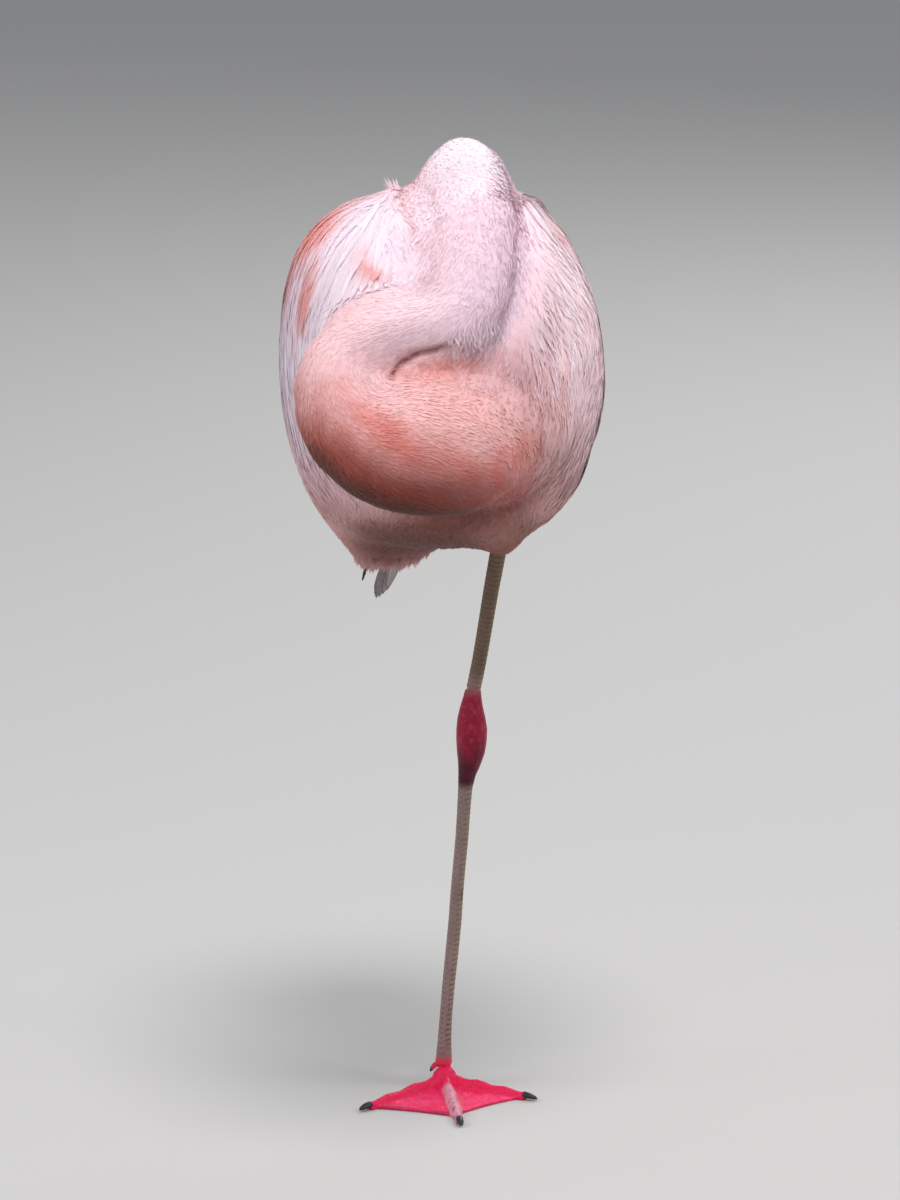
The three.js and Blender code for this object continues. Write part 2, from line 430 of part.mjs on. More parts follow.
put('toe_left_middle', toes.middle, coat(0xd58f9c, 0.55));
put('toe_left_inner', toes.inner.subtract(toeTools.middle), coat(WEB, 0.55));
put('toe_left_outer', toes.outer.subtract(toeTools.middle), coat(WEB, 0.55));
for (const [name, t] of Object.entries(TOES)) put(`claw_left_${name}`, clawShape(t.angle, t.length), coat(HORN, 0.5));
put('web_left_inner', cut(webShape(TOES.inner, TOES.middle, 0.97, 0.84, 0.07), rootTool, toeTools.inner, toeTools.middle), coat(WEB, 0.5));
put('web_left_outer', cut(webShape(TOES.outer, TOES.middle, 0.95, 0.8, 0.1), rootTool, toeTools.outer, toeTools.middle), coat(WEB, 0.5));
const halluxPath = [[-5, 6.4, 13], [-7.5, 11.5, 10.5], [-9.5, 16.5, 7]];
put('hallux_left', cut(tube(halluxPath, (t) => [2.6 * (1 - 0.25 * t), 2.4 * (1 - 0.25 * t)], { ref: [0, 0, 1], around: 10, steps: 5 }), rootTool, shankEndTool), coat(WEB, 0.55));
put('claw_left_hallux', tube([[-9.62, 16.8, 6.8], [-10.6, 19.4, 5], [-11.2, 21.2, 2.6]], (t) => [1.7 * (1 - 0.7 * t), 1.5 * (1 - 0.65 * t)], { ref: [1, 0, 0], around: 8, steps: 4 }), coat(HORN, 0.5));

// folded leg
put('ankle_right', foldedAnkle(0), coat(JOINT, 0.6));
put('shank_right', foldedShank(0).subtract(foldedAnkle(GAP)), coat(LEG, 0.6));
put('foot_right', foldedFoot(0).subtract(foldedShank(GAP)), coat(WEB, 0.55));

const flamingo = new THREE.Group();
flamingo.name = 'flamingo';
const groups = { head: new THREE.Group(), body: new THREE.Group(), legs: new THREE.Group() };
for (const g of Object.values(groups)) flamingo.add(g);
for (const [name, body] of Object.entries(made)) {
  const mesh = new THREE.Mesh(geometryOf(body), colour[name]);
  mesh.name = name;
  const home = /^(head|bill|eye|neck)/.test(name) ? groups.head : /^(trunk|wing|primaries|tail)/.test(name) ? groups.body : groups.legs;
  home.add(mesh);
}

export default flamingo;
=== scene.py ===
# A Chilean flamingo asleep on one leg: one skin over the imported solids, and a coat of modelled feathers on it.
import math
import bpy
import numpy as np
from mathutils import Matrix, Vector
from mathutils.bvhtree import BVHTree


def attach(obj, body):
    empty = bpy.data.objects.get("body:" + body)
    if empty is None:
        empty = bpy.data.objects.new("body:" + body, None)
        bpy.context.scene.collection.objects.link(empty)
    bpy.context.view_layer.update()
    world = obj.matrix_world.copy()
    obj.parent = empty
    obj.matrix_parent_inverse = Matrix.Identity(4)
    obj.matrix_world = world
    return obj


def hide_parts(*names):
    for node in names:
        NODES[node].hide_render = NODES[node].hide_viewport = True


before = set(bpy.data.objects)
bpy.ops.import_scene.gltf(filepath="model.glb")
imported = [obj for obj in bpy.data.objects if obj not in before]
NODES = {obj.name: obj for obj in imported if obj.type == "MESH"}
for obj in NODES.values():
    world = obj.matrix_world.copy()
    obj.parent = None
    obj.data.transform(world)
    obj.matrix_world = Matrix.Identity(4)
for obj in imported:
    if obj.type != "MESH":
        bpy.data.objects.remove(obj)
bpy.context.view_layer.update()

rng = np.random.default_rng(2834)
MM = 0.001

# ------------------------------------------------------------------ the bird's own frame, in millimetres
YAW = math.radians(17)
BACK = np.array([-math.sin(YAW), math.cos(YAW), 0.0])
LEFT = np.array([math.cos(YAW), math.sin(YAW), 0.0])
UP = np.array([0.0, 0.0, 1.0])
MID = np.array([-4.0, -32.0, 0.0])
LEAN = math.tan(math.radians(5.5))
NECK_PATH = np.array([[34, -108, 467], [9, -142, 466], [-25, -162, 471], [-51, -162, 480], [-65, -155, 500], [-61, -147, 519], [-40, -146, 532],
                      [-10, -149, 542], [7.5, -143, 551], [14.5, -129, 565.5], [16, -113, 582], [17, -99, 595], [17, -86, 604]], float)
NECK_RADIUS = np.array([34, 46.5, 46.5, 41, 35, 31, 28.5, 26.5, 28, 30, 31, 30.5, 27], float)
HEAD_AT = np.array([7, -72, 612.5])
FACE = np.array([-0.86, 0.45, -0.25]); FACE /= np.linalg.norm(FACE)
CROWN = UP - FACE * FACE[2]; CROWN /= np.linalg.norm(CROWN)
CHEEK = np.cross(CROWN, FACE)  # towards the bird's own left
EYE = (1.0, 20.8, 3.0)  # forward, side, up in the head's frame


def unit(v):
    return v / np.maximum(np.linalg.norm(v, axis=-1, keepdims=True), 1e-9)


def smooth(a, b, x):
    t = np.clip((x - a) / (b - a), 0, 1)
    return t * t * (3 - 2 * t)


def curve(points, n):
    """Catmull-Rom through the points, n samples in even steps of its parameter."""
    p = np.asarray(points, float)
    if p.ndim == 1:
        p = p[:, None]
    ext = np.vstack([2 * p[0] - p[1], p, 2 * p[-1] - p[-2]])
    u = np.linspace(0, len(p) - 1, n)
    i = np.minimum(u.astype(int), len(p) - 2)
    t = (u - i)[:, None]
    a, b, c, d = ext[i], ext[i + 1], ext[i + 2], ext[i + 3]
    return 0.5 * ((2 * b) + (c - a) * t + (2 * a - 5 * b + 4 * c - d) * t ** 2 + (3 * b - a - 3 * c + d) * t ** 3)


NECK = curve(NECK_PATH, 160)
NECK_T = unit(np.gradient(NECK, axis=0))
NECK_R = curve(NECK_RADIUS, 160)[:, 0]


def neck_place(p):
    """Place along the neck (0 breast to 1 nape), distance outside its radius, outward direction and the neck's own direction there."""
    best = np.full(len(p), 1e9)
    which = np.zeros(len(p), int)
    for i in range(len(NECK)):
        d = np.linalg.norm(p - NECK[i], axis=1) - NECK_R[i]
        m = d < best
        best[m] = d[m]
        which[m] = i
    out = unit(p - NECK[which])
    return which / (len(NECK) - 1), best, out, NECK_T[which]


def body_place(p):
    q = p - MID
    s = q @ BACK
    side = q @ LEFT + (p[:, 2] - 490) * LEAN + 6 * np.square(np.maximum(0, s - 45) / 110)
    return s, p[:, 2], side


def noise3(p, scale, seed=0):
    """Smooth value noise, about -1 to 1, of points in millimetres."""
    q = p / scale + 37.3 * (seed + 1)
    i = np.floor(q).astype(np.int64)
    f = q - i
    f = f * f * (3 - 2 * f)
    total = np.zeros(len(p))
    for dx in (0, 1):
        for dy in (0, 1):
            for dz in (0, 1):
                h = (i[:, 0] + dx) * 73856093 ^ (i[:, 1] + dy) * 19349663 ^ (i[:, 2] + dz) * 83492791 ^ (seed * 2654435761)
                h = (h ^ (h >> 13)) * 1274126177 & 0x7FFFFFFF
                v = (h % 100003) / 50001.5 - 1
                w = (f[:, 0] if dx else 1 - f[:, 0]) * (f[:, 1] if dy else 1 - f[:, 1]) * (f[:, 2] if dz else 1 - f[:, 2])
                total += v * w
    return total


# ------------------------------------------------------------------ colours
def rgb(r, g, b):
    c = np.array([r, g, b]) / 255.0
    return np.where(c <= 0.04045, c / 12.92, ((c + 0.055) / 1.055) ** 2.4)


WHITE = rgb(252, 236, 244)
PALE = rgb(252, 217, 227)
PEACH = rgb(249, 198, 196)
SALMON = rgb(243, 158, 148)
CORAL = rgb(230, 110, 92)
DEEP = rgb(176, 74, 64)
DARK = rgb(92, 30, 30)
LILAC = rgb(228, 208, 230)
DUSK = rgb(196, 138, 130)
# a dull brown used only as painted shade, on the belly and under the neck's loop
SHADE_BROWN = rgb(160, 96, 84)


def mix(a, b, w):
    w = np.asarray(w)[:, None]
    return a * (1 - w) + b * w


def front(p):
    """Place of points as seen from in front and a little above: right and down, in steps of 0.645 mm."""
    return 450 + p[:, 0] / 0.645, 600 - (p[:, 2] * 0.970 + p[:, 1] * 0.2419 - 320.2) / 0.645


def spot(px, py, x, y, rx, ry, turn=0.0):
    """A soft oval, 1 at its middle."""
    c, s = math.cos(math.radians(turn)), math.sin(math.radians(turn))
    dx, dy = px - x, py - y
    return np.exp(-((dx * c + dy * s) / rx) ** 2 - ((dy * c - dx * s) / ry) ** 2)


def line_distance(px, py, points):
    best = np.full(len(px), 1e9)
    for (x0, y0), (x1, y1) in zip(points[:-1], points[1:]):
        dx, dy = x1 - x0, y1 - y0
        t = np.clip(((px - x0) * dx + (py - y0) * dy) / (dx * dx + dy * dy), 0, 1)
        best = np.minimum(best, np.hypot(px - x0 - t * dx, py - y0 - t * dy))
    return best


CREVICE = [(395, 388), (399, 379), (407, 370), (420, 363), (438, 359), (456, 353), (470, 351)]  # where the neck lies on itself
NAPE_FOLD = [(404, 192), (406, 212), (413, 228), (420, 246), (424, 256)]  # where the head and neck press into the wing


def plumage_tone_and_shade(p, streaky=True):
    """Colour of the plumage at points in millimetres, with painted shade under the loop, on the belly and in the folds;
    the skin and the coat both use it.
    """
    t, d, out, _ = neck_place(p)
    s, z, side = body_place(p)
    px, py = front(p)
    n = len(p)
    ahead = smooth(60, -30, p[:, 1])
    streak = noise3(p * np.array([1, 1, 0.4]), 5.0, 3) * (1 if streaky else 0.4)
    broad = noise3(p, 26.0, 5)
    body = np.tile(PALE, (n, 1))
    body = mix(body, WHITE, smooth(20, 80, side) * 0.6)
    body = mix(body, WHITE * 0.6 + LILAC * 0.4, smooth(10, 50, -side) * smooth(430, 500, z) * 0.75)
    body = mix(body, LILAC, np.clip(smooth(50, 95, -side) * smooth(520, 430, z) * smooth(8, 20, d) * 0.5, 0, 1))
    body = mix(body, PEACH, np.clip(smooth(0, 70, side) * smooth(600, 540, z) * (0.25 + 0.5 * streak), 0, 1))
    body = mix(body, PEACH, smooth(40, 110, s) * 0.3 * (1 + broad) * 0.5)
    # the breast's own pinks
    band = line_distance(px, py, [(348, 398), (360, 416), (380, 434), (406, 450), (434, 464), (463, 478), (496, 478), (530, 456)])
    coral = smooth(32, 2, band) * smooth(562, 494, px) * (0.35 + 0.65 * smooth(345, 400, px)) * ahead
    pink = spot(px, py, 470, 425, 90, 60) * ahead
    body = mix(body, PEACH * 0.6 + SALMON * 0.4, np.clip(pink * (0.7 + 0.5 * streak), 0, 1))
    body = mix(body, DUSK * 0.75 + LILAC * 0.12, np.clip((spot(px, py, 526, 432, 36, 58) * 0.85 + spot(px, py, 570, 466, 24, 36) * 0.45) * ahead * (1 + 0.7 * streak), 0, 1))
    body = mix(body, CORAL, np.clip(coral * (0.62 + 0.7 * streak), 0, 0.95))
    # wing stripes
    beside = smooth(112, 76, p[:, 1]) * smooth(10, 30, -side)
    for x, y, rx, ry, turn, k in ((313, 245, 42, 13, -46, 1.8), (290, 286, 8, 38, 12, 1.4), (313, 306, 6, 32, 12, 1.4), (340, 214, 36, 6, -20, 0.8), (314, 258, 28, 6, -40, 0.8), (300, 304, 5, 30, 20, 0.5)):
        body = mix(body, CORAL * 0.75 + SALMON * 0.25, np.clip(spot(px, py, x, y, rx, ry, turn) * k * (0.95 + 0.5 * streak) * beside, 0, 0.95))
    body = mix(body, CORAL * 0.7 + SALMON * 0.3, np.clip((spot(px, py, 369, 277, 5, 14, -24) + spot(px, py, 379, 286, 12, 5, 20)) * 1.1 * ahead, 0, 0.9))
    body = mix(body, PEACH, smooth(455, 400, z) * 0.5)
    body = mix(body, DUSK, smooth(430, 385, z) * 0.6)
    under = smooth(128, 70, p[:, 1])
    along, beyond = (s - 66) * 0.665 - (z - 528) * 0.747, (s - 66) * 0.747 + (z - 528) * 0.665
    covert = np.exp(-(along / 62) ** 2 - (beyond / 17) ** 2) * smooth(30, 62, side)
    body = mix(body, CORAL * 0.6 + SALMON * 0.4, np.clip(covert * (0.6 + 0.5 * streak), 0, 0.9))
    body = mix(body, SALMON, spot(px, py, 561, 238, 9, 34, -28) * 0.45 * smooth(112, 76, p[:, 1]))
    # painted shade: the front of the belly is painted brown, darker towards its lowest part
    body = mix(body, SHADE_BROWN * 0.66, smooth(505, 530, py) * 0.95 * smooth(318, 380, px) * smooth(575, 520, px) * under)
    body = mix(body, SHADE_BROWN * 0.42, smooth(520, 548, py) * 0.8 * smooth(330, 400, px) * smooth(545, 480, px) * under)
    body = mix(body, DUSK, spot(px, py, 505, 535, 30, 30) * 0.7)
    # neck
    neck = np.tile(PALE * 0.85 + WHITE * 0.15, (n, 1))
    lit = smooth(0.0, 0.8, out[:, 2])
    neck = mix(neck, PEACH, smooth(0.62, 0.45, t) * 0.55)
    neck = mix(neck, SALMON, np.clip(smooth(0.5, 0.36, t) * smooth(0.6, -0.4, out[:, 2]) * (0.8 + 0.4 * streak), 0, 1))
    neck = mix(neck, CORAL, np.clip(coral * (0.85 + 0.5 * streak) + spot(px, py, 356, 444, 20, 34, -32) * (0.3 + 0.35 * streak), 0, 0.95))
    neck = mix(neck, SALMON * 0.4 + DUSK * 0.5, np.clip(spot(px, py, 314, 432, 36, 52) * (0.8 + 0.3 * streak), 0, 0.95))
    neck = mix(neck, PEACH * 0.5 + SALMON * 0.5, np.clip(pink * 0.8 * smooth(0.3, 0.2, t), 0, 1))
    # the loop's downward side and bottom: deeper coral, partly the plumage's own colour and partly painted shade; the
    # brown is painted shade
    neck = mix(neck, DEEP, smooth(-0.25, -0.8, out[:, 2]) * smooth(0.44, 0.32, t) * 0.7)
    neck = mix(neck, SHADE_BROWN * 0.55 + DEEP * 0.1, smooth(470, 505, py) * smooth(0.4, 0.3, t) * 0.88)
    neck = mix(neck, SHADE_BROWN * 0.8 + DEEP * 0.2, spot(px, py, 350, 470, 62, 20, 40) * smooth(0.42, 0.34, t) * 0.85)
    neck = mix(neck, LILAC, np.clip(smooth(440, 500, px) * smooth(0.5, 0.62, t) * (0.36 + 0.3 * streak), 0, 0.7))
    # a mauve patch on the upper pass above the crevice: partly the neck's lilac-grey edge, partly painted shade
    neck = mix(neck, LILAC * 0.6 + DUSK * 0.4, spot(px, py, 400, 346, 40, 12, -14) * 0.32 * smooth(0.35, 0.45, t))
    w = smooth(9, 0, d) * (1 - smooth(0.16, 0.02, t))
    head = smooth(54, 36, np.linalg.norm(p - HEAD_AT, axis=1))
    face = smooth(2, 30, (p - HEAD_AT) @ FACE)
    crown = mix(np.tile(WHITE, (n, 1)), PALE * 0.55 + PEACH * 0.45, face * 0.75)
    crown = mix(crown, PALE, smooth(150, 200, py) * 0.5)
    col = mix(body, neck, w)
    # under the loop the coral deepens to a dull red, partly the plumage's own deeper colour and partly painted shade;
    # the brown along the turn is painted shade
    turn = line_distance(px, py, [(318, 462), (342, 490), (386, 512), (440, 522), (500, 522), (545, 508)])
    below = smooth(50, 10, turn) * ahead * smooth(0.42, 0.34, t) * smooth(30, 10, d) * smooth(575, 520, px)
    col = mix(col, CORAL * 0.42 + DEEP * 0.38, np.clip(below * (0.75 + 0.3 * streak), 0, 1))
    col = mix(col, SHADE_BROWN * 0.42, np.clip(smooth(24, 4, turn) * ahead * smooth(0.42, 0.34, t) * smooth(30, 10, d) * smooth(560, 500, px) * 0.9, 0, 1))
    col = mix(col, crown, head)
    fold = line_distance(px, py, CREVICE)
    col = mix(col, SALMON, np.clip(spot(px, py, 446, 376, 48, 13, -9) * smooth(-95, -120, p[:, 1]) * 0.85, 0, 1))
    # painted shade: dark lines along the crevice where the neck lies on itself and along the fold at the nape
    col = mix(col, DARK * 0.6 + DEEP * 0.4, np.exp(-(fold / 2.7) ** 2) * smooth(-95, -120, p[:, 1]) * (0.25 + 0.7 * smooth(462, 434, px)))
    col = mix(col, DEEP * 0.7 + DUSK * 0.3, np.exp(-(fold / 7.0) ** 2) * smooth(-95, -120, p[:, 1]) * 0.15)
    col = mix(col, DEEP * 0.8, np.exp(-(line_distance(px, py, NAPE_FOLD) / 2.2) ** 2) * smooth(-50, -70, p[:, 1]) * 0.4)
    # painted shade: the front's lower half is darkened, more in green and blue
    lower = smooth(418, 500, py) * ahead * smooth(600, 560, px)
    col = col * (1 - np.array([0.24, 0.3, 0.33]) * lower[:, None])
    return np.clip(col * (1 + 0.04 * broad[:, None]), 0, 1)


# ------------------------------------------------------------------ mesh helpers
def mesh_arrays(mesh):
    v = np.empty(len(mesh.vertices) * 3)
    mesh.vertices.foreach_get("co", v)
    mesh.calc_loop_triangles()
    f = np.empty(len(mesh.loop_triangles) * 3, np.int32)
    mesh.loop_triangles.foreach_get("vertices", f)
    return v.reshape(-1, 3), f.reshape(-1, 3)


def make(name, verts, faces, material, colours=None, uv=None, quads=False, shade=True):
    """A mesh object from arrays in metres. faces is a list of equal-length index arrays."""
    mesh = bpy.data.meshes.new(name)
    groups = faces if isinstance(faces, list) else [faces]
    flat = np.concatenate([g.ravel() for g in groups]).astype(np.int32)
    sizes = np.concatenate([np.full(len(g), g.shape[1], np.int32) for g in groups])
    mesh.vertices.add(len(verts))
    mesh.vertices.foreach_set("co", np.ascontiguousarray(verts, np.float32).ravel())
    mesh.loops.add(len(flat))
    mesh.loops.foreach_set("vertex_index", flat)
    mesh.polygons.add(len(sizes))
    mesh.polygons.foreach_set("loop_start", np.concatenate([[0], np.cumsum(sizes)[:-1]]).astype(np.int32))
    mesh.polygons.foreach_set("use_smooth", np.full(len(sizes), shade))
    mesh.update(calc_edges=True)
    if colours is not None:
        a = mesh.color_attributes.new("Tone", "FLOAT_COLOR", "POINT")
        c = np.ones((len(verts), 4), np.float32)
        c[:, :3] = colours
        a.data.foreach_set("color", c.ravel())
    if uv is not None:
        layer = mesh.uv_layers.new(name="OFBake")
        layer.data.foreach_set("uv", np.ascontiguousarray(uv[flat], np.float32).ravel())
    mesh.validate()
    o = bpy.data.objects.new(name, mesh)
    bpy.context.scene.collection.objects.link(o)
    if material:
        mesh.materials.append(material)
    return o


def remeshed(name, parts, voxel):
    """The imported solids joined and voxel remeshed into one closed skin: vertices in millimetres, quads."""
    vs, fs, k = [], [], 0
    for n in parts:
        v, f = mesh_arrays(NODES[n].data)
        vs.append(v)
        fs.append(f + k)
        k += len(v)
    return voxelled(name, np.vstack(vs), np.vstack(fs), voxel)


def voxelled(name, verts, faces, voxel):
    o = make(name, verts, faces, None)
    m = o.modifiers.new("r", "REMESH")
    m.mode = "VOXEL"
    m.voxel_size = voxel
    dg = bpy.context.evaluated_depsgraph_get()
    got = bpy.data.meshes.new_from_object(o.evaluated_get(dg))
    v = np.empty(len(got.vertices) * 3)
    got.vertices.foreach_get("co", v)
    loops = np.empty(len(got.loops), np.int32)
    got.loops.foreach_get("vertex_index", loops)
    old = o.data
    bpy.data.objects.remove(o)
    bpy.data.meshes.remove(old)
    quads = loops.reshape(-1, 4)
    v = v.reshape(-1, 3) * 1000
    bpy.data.meshes.remove(got)
    # the largest connected body
    label = np.arange(len(v))
    edges = np.vstack([quads[:, [0, 1]], quads[:, [1, 2]], quads[:, [2, 3]], quads[:, [3, 0]]])
    while True:
        low = np.minimum(label[edges[:, 0]], label[edges[:, 1]])
        new = label.copy()
        np.minimum.at(new, edges[:, 0], low)
        np.minimum.at(new, edges[:, 1], low)
        new = new[new]
        if (new == label).all():
            break
        label = new
    keep = label == np.bincount(label).argmax()
    index = np.cumsum(keep) - 1
    quads = index[quads[keep[quads[:, 0]]]]
    return v[keep], quads


def relax(v, quads, times, factor=0.5):
    edges = np.vstack([quads[:, [0, 1]], quads[:, [1, 2]], quads[:, [2, 3]], quads[:, [3, 0]]])
    edges = np.unique(np.sort(edges, axis=1), axis=0)
    count = np.bincount(edges.ravel(), minlength=len(v))[:, None]
    for _ in range(times):
        total = np.stack([np.bincount(edges[:, 0], v[edges[:, 1], k], len(v)) + np.bincount(edges[:, 1], v[edges[:, 0], k], len(v)) for k in range(3)], axis=1)
        v = v + factor * (total / np.maximum(count, 1) - v)
    return v


def vertex_normals(v, quads):
    n = np.cross(v[quads[:, 2]] - v[quads[:, 0]], v[quads[:, 3]] - v[quads[:, 1]])
    out = np.zeros_like(v)
    for k in range(4):
        for c in range(3):
            out[:, c] += np.bincount(quads[:, k], n[:, c], len(v))
    return unit(out)


# ------------------------------------------------------------------ materials
def principled(name, rough=0.8):
    m = bpy.data.materials.new(name)
    m.use_nodes = True
    nt = m.node_tree
    b = nt.nodes["Principled BSDF"]
    b.inputs["Roughness"].default_value = rough
    b.inputs["Specular IOR Level"].default_value = 0.25
    return m, nt, b


def toned(name, rough=0.8, sheen=0.0, noise_scale=900.0, strength=0.12, bump=None, translucent=0.0):
    """A material whose colour is the painted tone, varied by a fine noise on the object's own coordinates."""
    m, nt, b = principled(name, rough)
    tone = nt.nodes.new("ShaderNodeVertexColor")
    tone.layer_name = "Tone"
    co = nt.nodes.new("ShaderNodeTexCoord")
    noise = nt.nodes.new("ShaderNodeTexNoise")
    noise.inputs["Scale"].default_value = noise_scale
    noise.inputs["Detail"].default_value = 3.0
    nt.links.new(co.outputs["Object"], noise.inputs["Vector"])
    ramp = nt.nodes.new("ShaderNodeMapRange")
    ramp.inputs["To Min"].default_value = 1 - strength
    ramp.inputs["To Max"].default_value = 1 + strength
    nt.links.new(noise.outputs["Fac"], ramp.inputs["Value"])
    hsv = nt.nodes.new("ShaderNodeHueSaturation")
    nt.links.new(tone.outputs["Color"], hsv.inputs["Color"])
    nt.links.new(ramp.outputs["Result"], hsv.inputs["Value"])
    nt.links.new(hsv.outputs["Color"], b.inputs["Base Color"])
    b.inputs["Sheen Weight"].default_value = sheen
    b.inputs["Sheen Roughness"].default_value = 0.5
    if bump:
        kind, scale, depth, dist = bump
        if kind == "voronoi":
            tex = nt.nodes.new("ShaderNodeTexVoronoi")
            tex.inputs["Scale"].default_value = scale
            out = tex.outputs["Distance"]
        else:
            tex = nt.nodes.new("ShaderNodeTexNoise")
            tex.inputs["Scale"].default_value = scale
            out = tex.outputs["Fac"]
        nt.links.new(co.outputs["Object"], tex.inputs["Vector"])
        bn = nt.nodes.new("ShaderNodeBump")
        bn.inputs["Strength"].default_value = depth
        bn.inputs["Distance"].default_value = dist
        nt.links.new(out, bn.inputs["Height"])
        nt.links.new(bn.outputs["Normal"], b.inputs["Normal"])
    return m


MAT_SKIN = toned("plumage_skin", 0.9, 0.0, 700.0, 0.15, ("noise", 900.0, 0.4, 0.0006))
MAT_COAT = toned("plumage", 0.75, 0.12, 500.0, 0.06)
MAT_FLIGHT = toned("flight_feathers", 0.5, 0.0, 500.0, 0.15)
MAT_LEG = toned("leg_skin", 0.5, 0.0, 600.0, 0.22, ("voronoi", 420.0, 0.55, 0.0009))
MAT_HORN = toned("claw_horn", 0.35, 0.0, 400.0, 0.2)

# ------------------------------------------------------------------ the skin
FLESH = ["head", "neck_upper", "neck_middle", "neck_lower", "neck_base", "trunk", "wing_left", "wing_right"]
INSIDE = ["bill_upper", "bill_lower", "eye_left", "eye_right", "ankle_right", "shank_right", "foot_right"]
v, quads = remeshed("skin_raw", FLESH + INSIDE, 0.0026)
v = relax(v, quads, 6)
# narrow creases between neck and body are filled by the plumage: swell, join, shrink again
SWELL = 4.5
for _ in range(2):
    v = v + relax(vertex_normals(v, quads), quads, 3) * SWELL
    v, quads = voxelled("skin_swollen", v * MM, quads, 0.0026)
    v = relax(v, quads, 3)
for _ in range(3):
    nrm = relax(vertex_normals(v, quads), quads, 3)
    v = relax(v - unit(nrm) * (SWELL * 2 / 3), quads, 1)
px, py = front(v)
d_n = neck_place(v)[1]
valley = np.minimum(spot(px, py, 512, 350, 40, 44) + spot(px, py, 534, 262, 24, 80), 1) * smooth(0, 8, d_n) * smooth(48, 18, d_n) * smooth(0, -40, v[:, 1])
v[:, 1] -= 17.0 * valley
v[:, 2] += 9.0 * spot(px, py, 394, 188, 14, 12) + 5.0 * spot(px, py, 532, 205, 20, 15)
v[:, 0] += 4.0 * spot(px, py, 536, 208, 18, 16)
v = relax(v, quads, 8)
px, py = front(v)
soft = (np.minimum(spot(px, py, 498, 372, 44, 26) + spot(px, py, 534, 262, 16, 80) * 0.6, 1) * smooth(-30, -60, v[:, 1]) * smooth(-2, 4, neck_place(v)[1] + 6 * smooth(360, 368, py)))[:, None]
for _ in range(10):
    v = v * (1 - soft) + relax(v, quads, 6) * soft
nrm = vertex_normals(v, quads)
t_n, d_n, _, _ = neck_place(v)
head_w = smooth(60, 40, np.linalg.norm(v - HEAD_AT, axis=1))
on_neck = np.maximum(smooth(8, 0, d_n), head_w)
depth = 3.0 * (1 - on_neck) + 1.6 * on_neck
v = v - nrm * depth[:, None]
# the fold where the neck lies on itself
px, py = front(v)
px, py = front(v)
fold = np.exp(-(line_distance(px, py, CREVICE) / 2.8) ** 2) * smooth(-100, -120, v[:, 1]) * smooth(0.1, -0.3, nrm[:, 1])
v = v - nrm * (fold * 4.0 * (0.3 + 0.7 * smooth(466, 434, px)))[:, None]
v = relax(v, quads, 1)
# the closed eyes swell a little under the lids
for sign in (1, -1):
    at = HEAD_AT + FACE * EYE[0] + CHEEK * sign * EYE[1] + CROWN * EYE[2]
    dist = np.linalg.norm(v - at, axis=1)
    v = v + unit(v - at) * (np.maximum(0, 5.4 - dist))[:, None]
nrm = vertex_normals(v, quads)
skin_tone = plumage_tone_and_shade(v, False)
skin = make("skin", v * MM, quads, MAT_SKIN, skin_tone)
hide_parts(*FLESH)
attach(skin, "root")

# the skin's own unwrap, which the feathers' unwrap patches use
bpy.context.view_layer.objects.active = skin
skin.select_set(True)
bpy.ops.object.mode_set(mode="EDIT")
bpy.ops.mesh.select_all(action="SELECT")
bpy.ops.uv.smart_project(angle_limit=math.radians(66), island_margin=0.002)
bpy.ops.object.mode_set(mode="OBJECT")
skin.select_set(False)
mesh = skin.data
mesh.calc_loop_triangles()
tri_v = np.empty(len(mesh.loop_triangles) * 3, np.int32)
mesh.loop_triangles.foreach_get("vertices", tri_v)
tri_v = tri_v.reshape(-1, 3)
tri_l = np.empty(len(mesh.loop_triangles) * 3, np.int32)
mesh.loop_triangles.foreach_get("loops", tri_l)
tri_l = tri_l.reshape(-1, 3)
loop_uv = np.empty(len(mesh.loops) * 2)
mesh.uv_layers.active.data.foreach_get("uv", loop_uv)
loop_uv = loop_uv.reshape(-1, 2)
tree = BVHTree.FromPolygons(v.tolist(), tri_v.tolist())


# the lie of the coat
def flow_at(p, n):
    t, d, out, T = neck_place(p)
    s, z, side = body_place(p)
    px, py = front(p)
    ahead = (smooth(50, -10, p[:, 1]) * smooth(0.45, 0.1, n[:, 1]))[:, None]
    body = BACK * 0.665 - UP * 0.747 + LEFT * (np.clip(side / 90, -1.2, 1.2) * 0.7 * smooth(90, -40, s))[:, None]

    def across(dx, dy):  # a direction right and down as seen from in front
        k = np.hypot(dx, dy)[:, None] + 1e-6
        return np.stack([dx, 0 * dx, -dy], axis=1) / k
    # the right wing's plumes spread from behind the head and sweep round the shoulder
    w = smooth(372, 312, px)
    fan = across(px - 402, py - 150)
    round_ = across(py - 312.0, -(px - 342.0))
    right = unit(fan * (1 - w)[:, None] + round_ * w[:, None])
    # the left flank turns the other way and ends towards the breast
    left = across(-(py - 335.0) + 4, (px - 492.0) + 12)
    down = np.tile(np.array([0.0, 0, -1.0]), (len(p), 1))
    here = np.where((px < 450)[:, None], right, left)
    here = unit(here * 0.9 + down * 0.3)
    breast = (smooth(395, 440, py) * smooth(420, 450, px))[:, None]
    here = unit(here * (1 - breast) + across(np.clip((540 - px) / 38, -0.9, 1.3), 1 + 0 * px) * breast)
    low = smooth(470, 525, py)[:, None]
    here = unit(here * (1 - low) + unit(body * 0.6 + down * 0.4) * low)
    body = unit(body * (1 - ahead) + here * ahead)
    w = (smooth(12, 2, d) * (1 - smooth(0.2, 0.05, t)))[:, None]
    f = body * (1 - w) - T * w
    hw = smooth(48, 30, np.linalg.norm(p - HEAD_AT, axis=1))[:, None]
    f = f * (1 - hw) + (-FACE * 0.9 - CROWN * 0.35) * hw
    f = f - n * (f * n).sum(axis=1, keepdims=True)
    return unit(f)


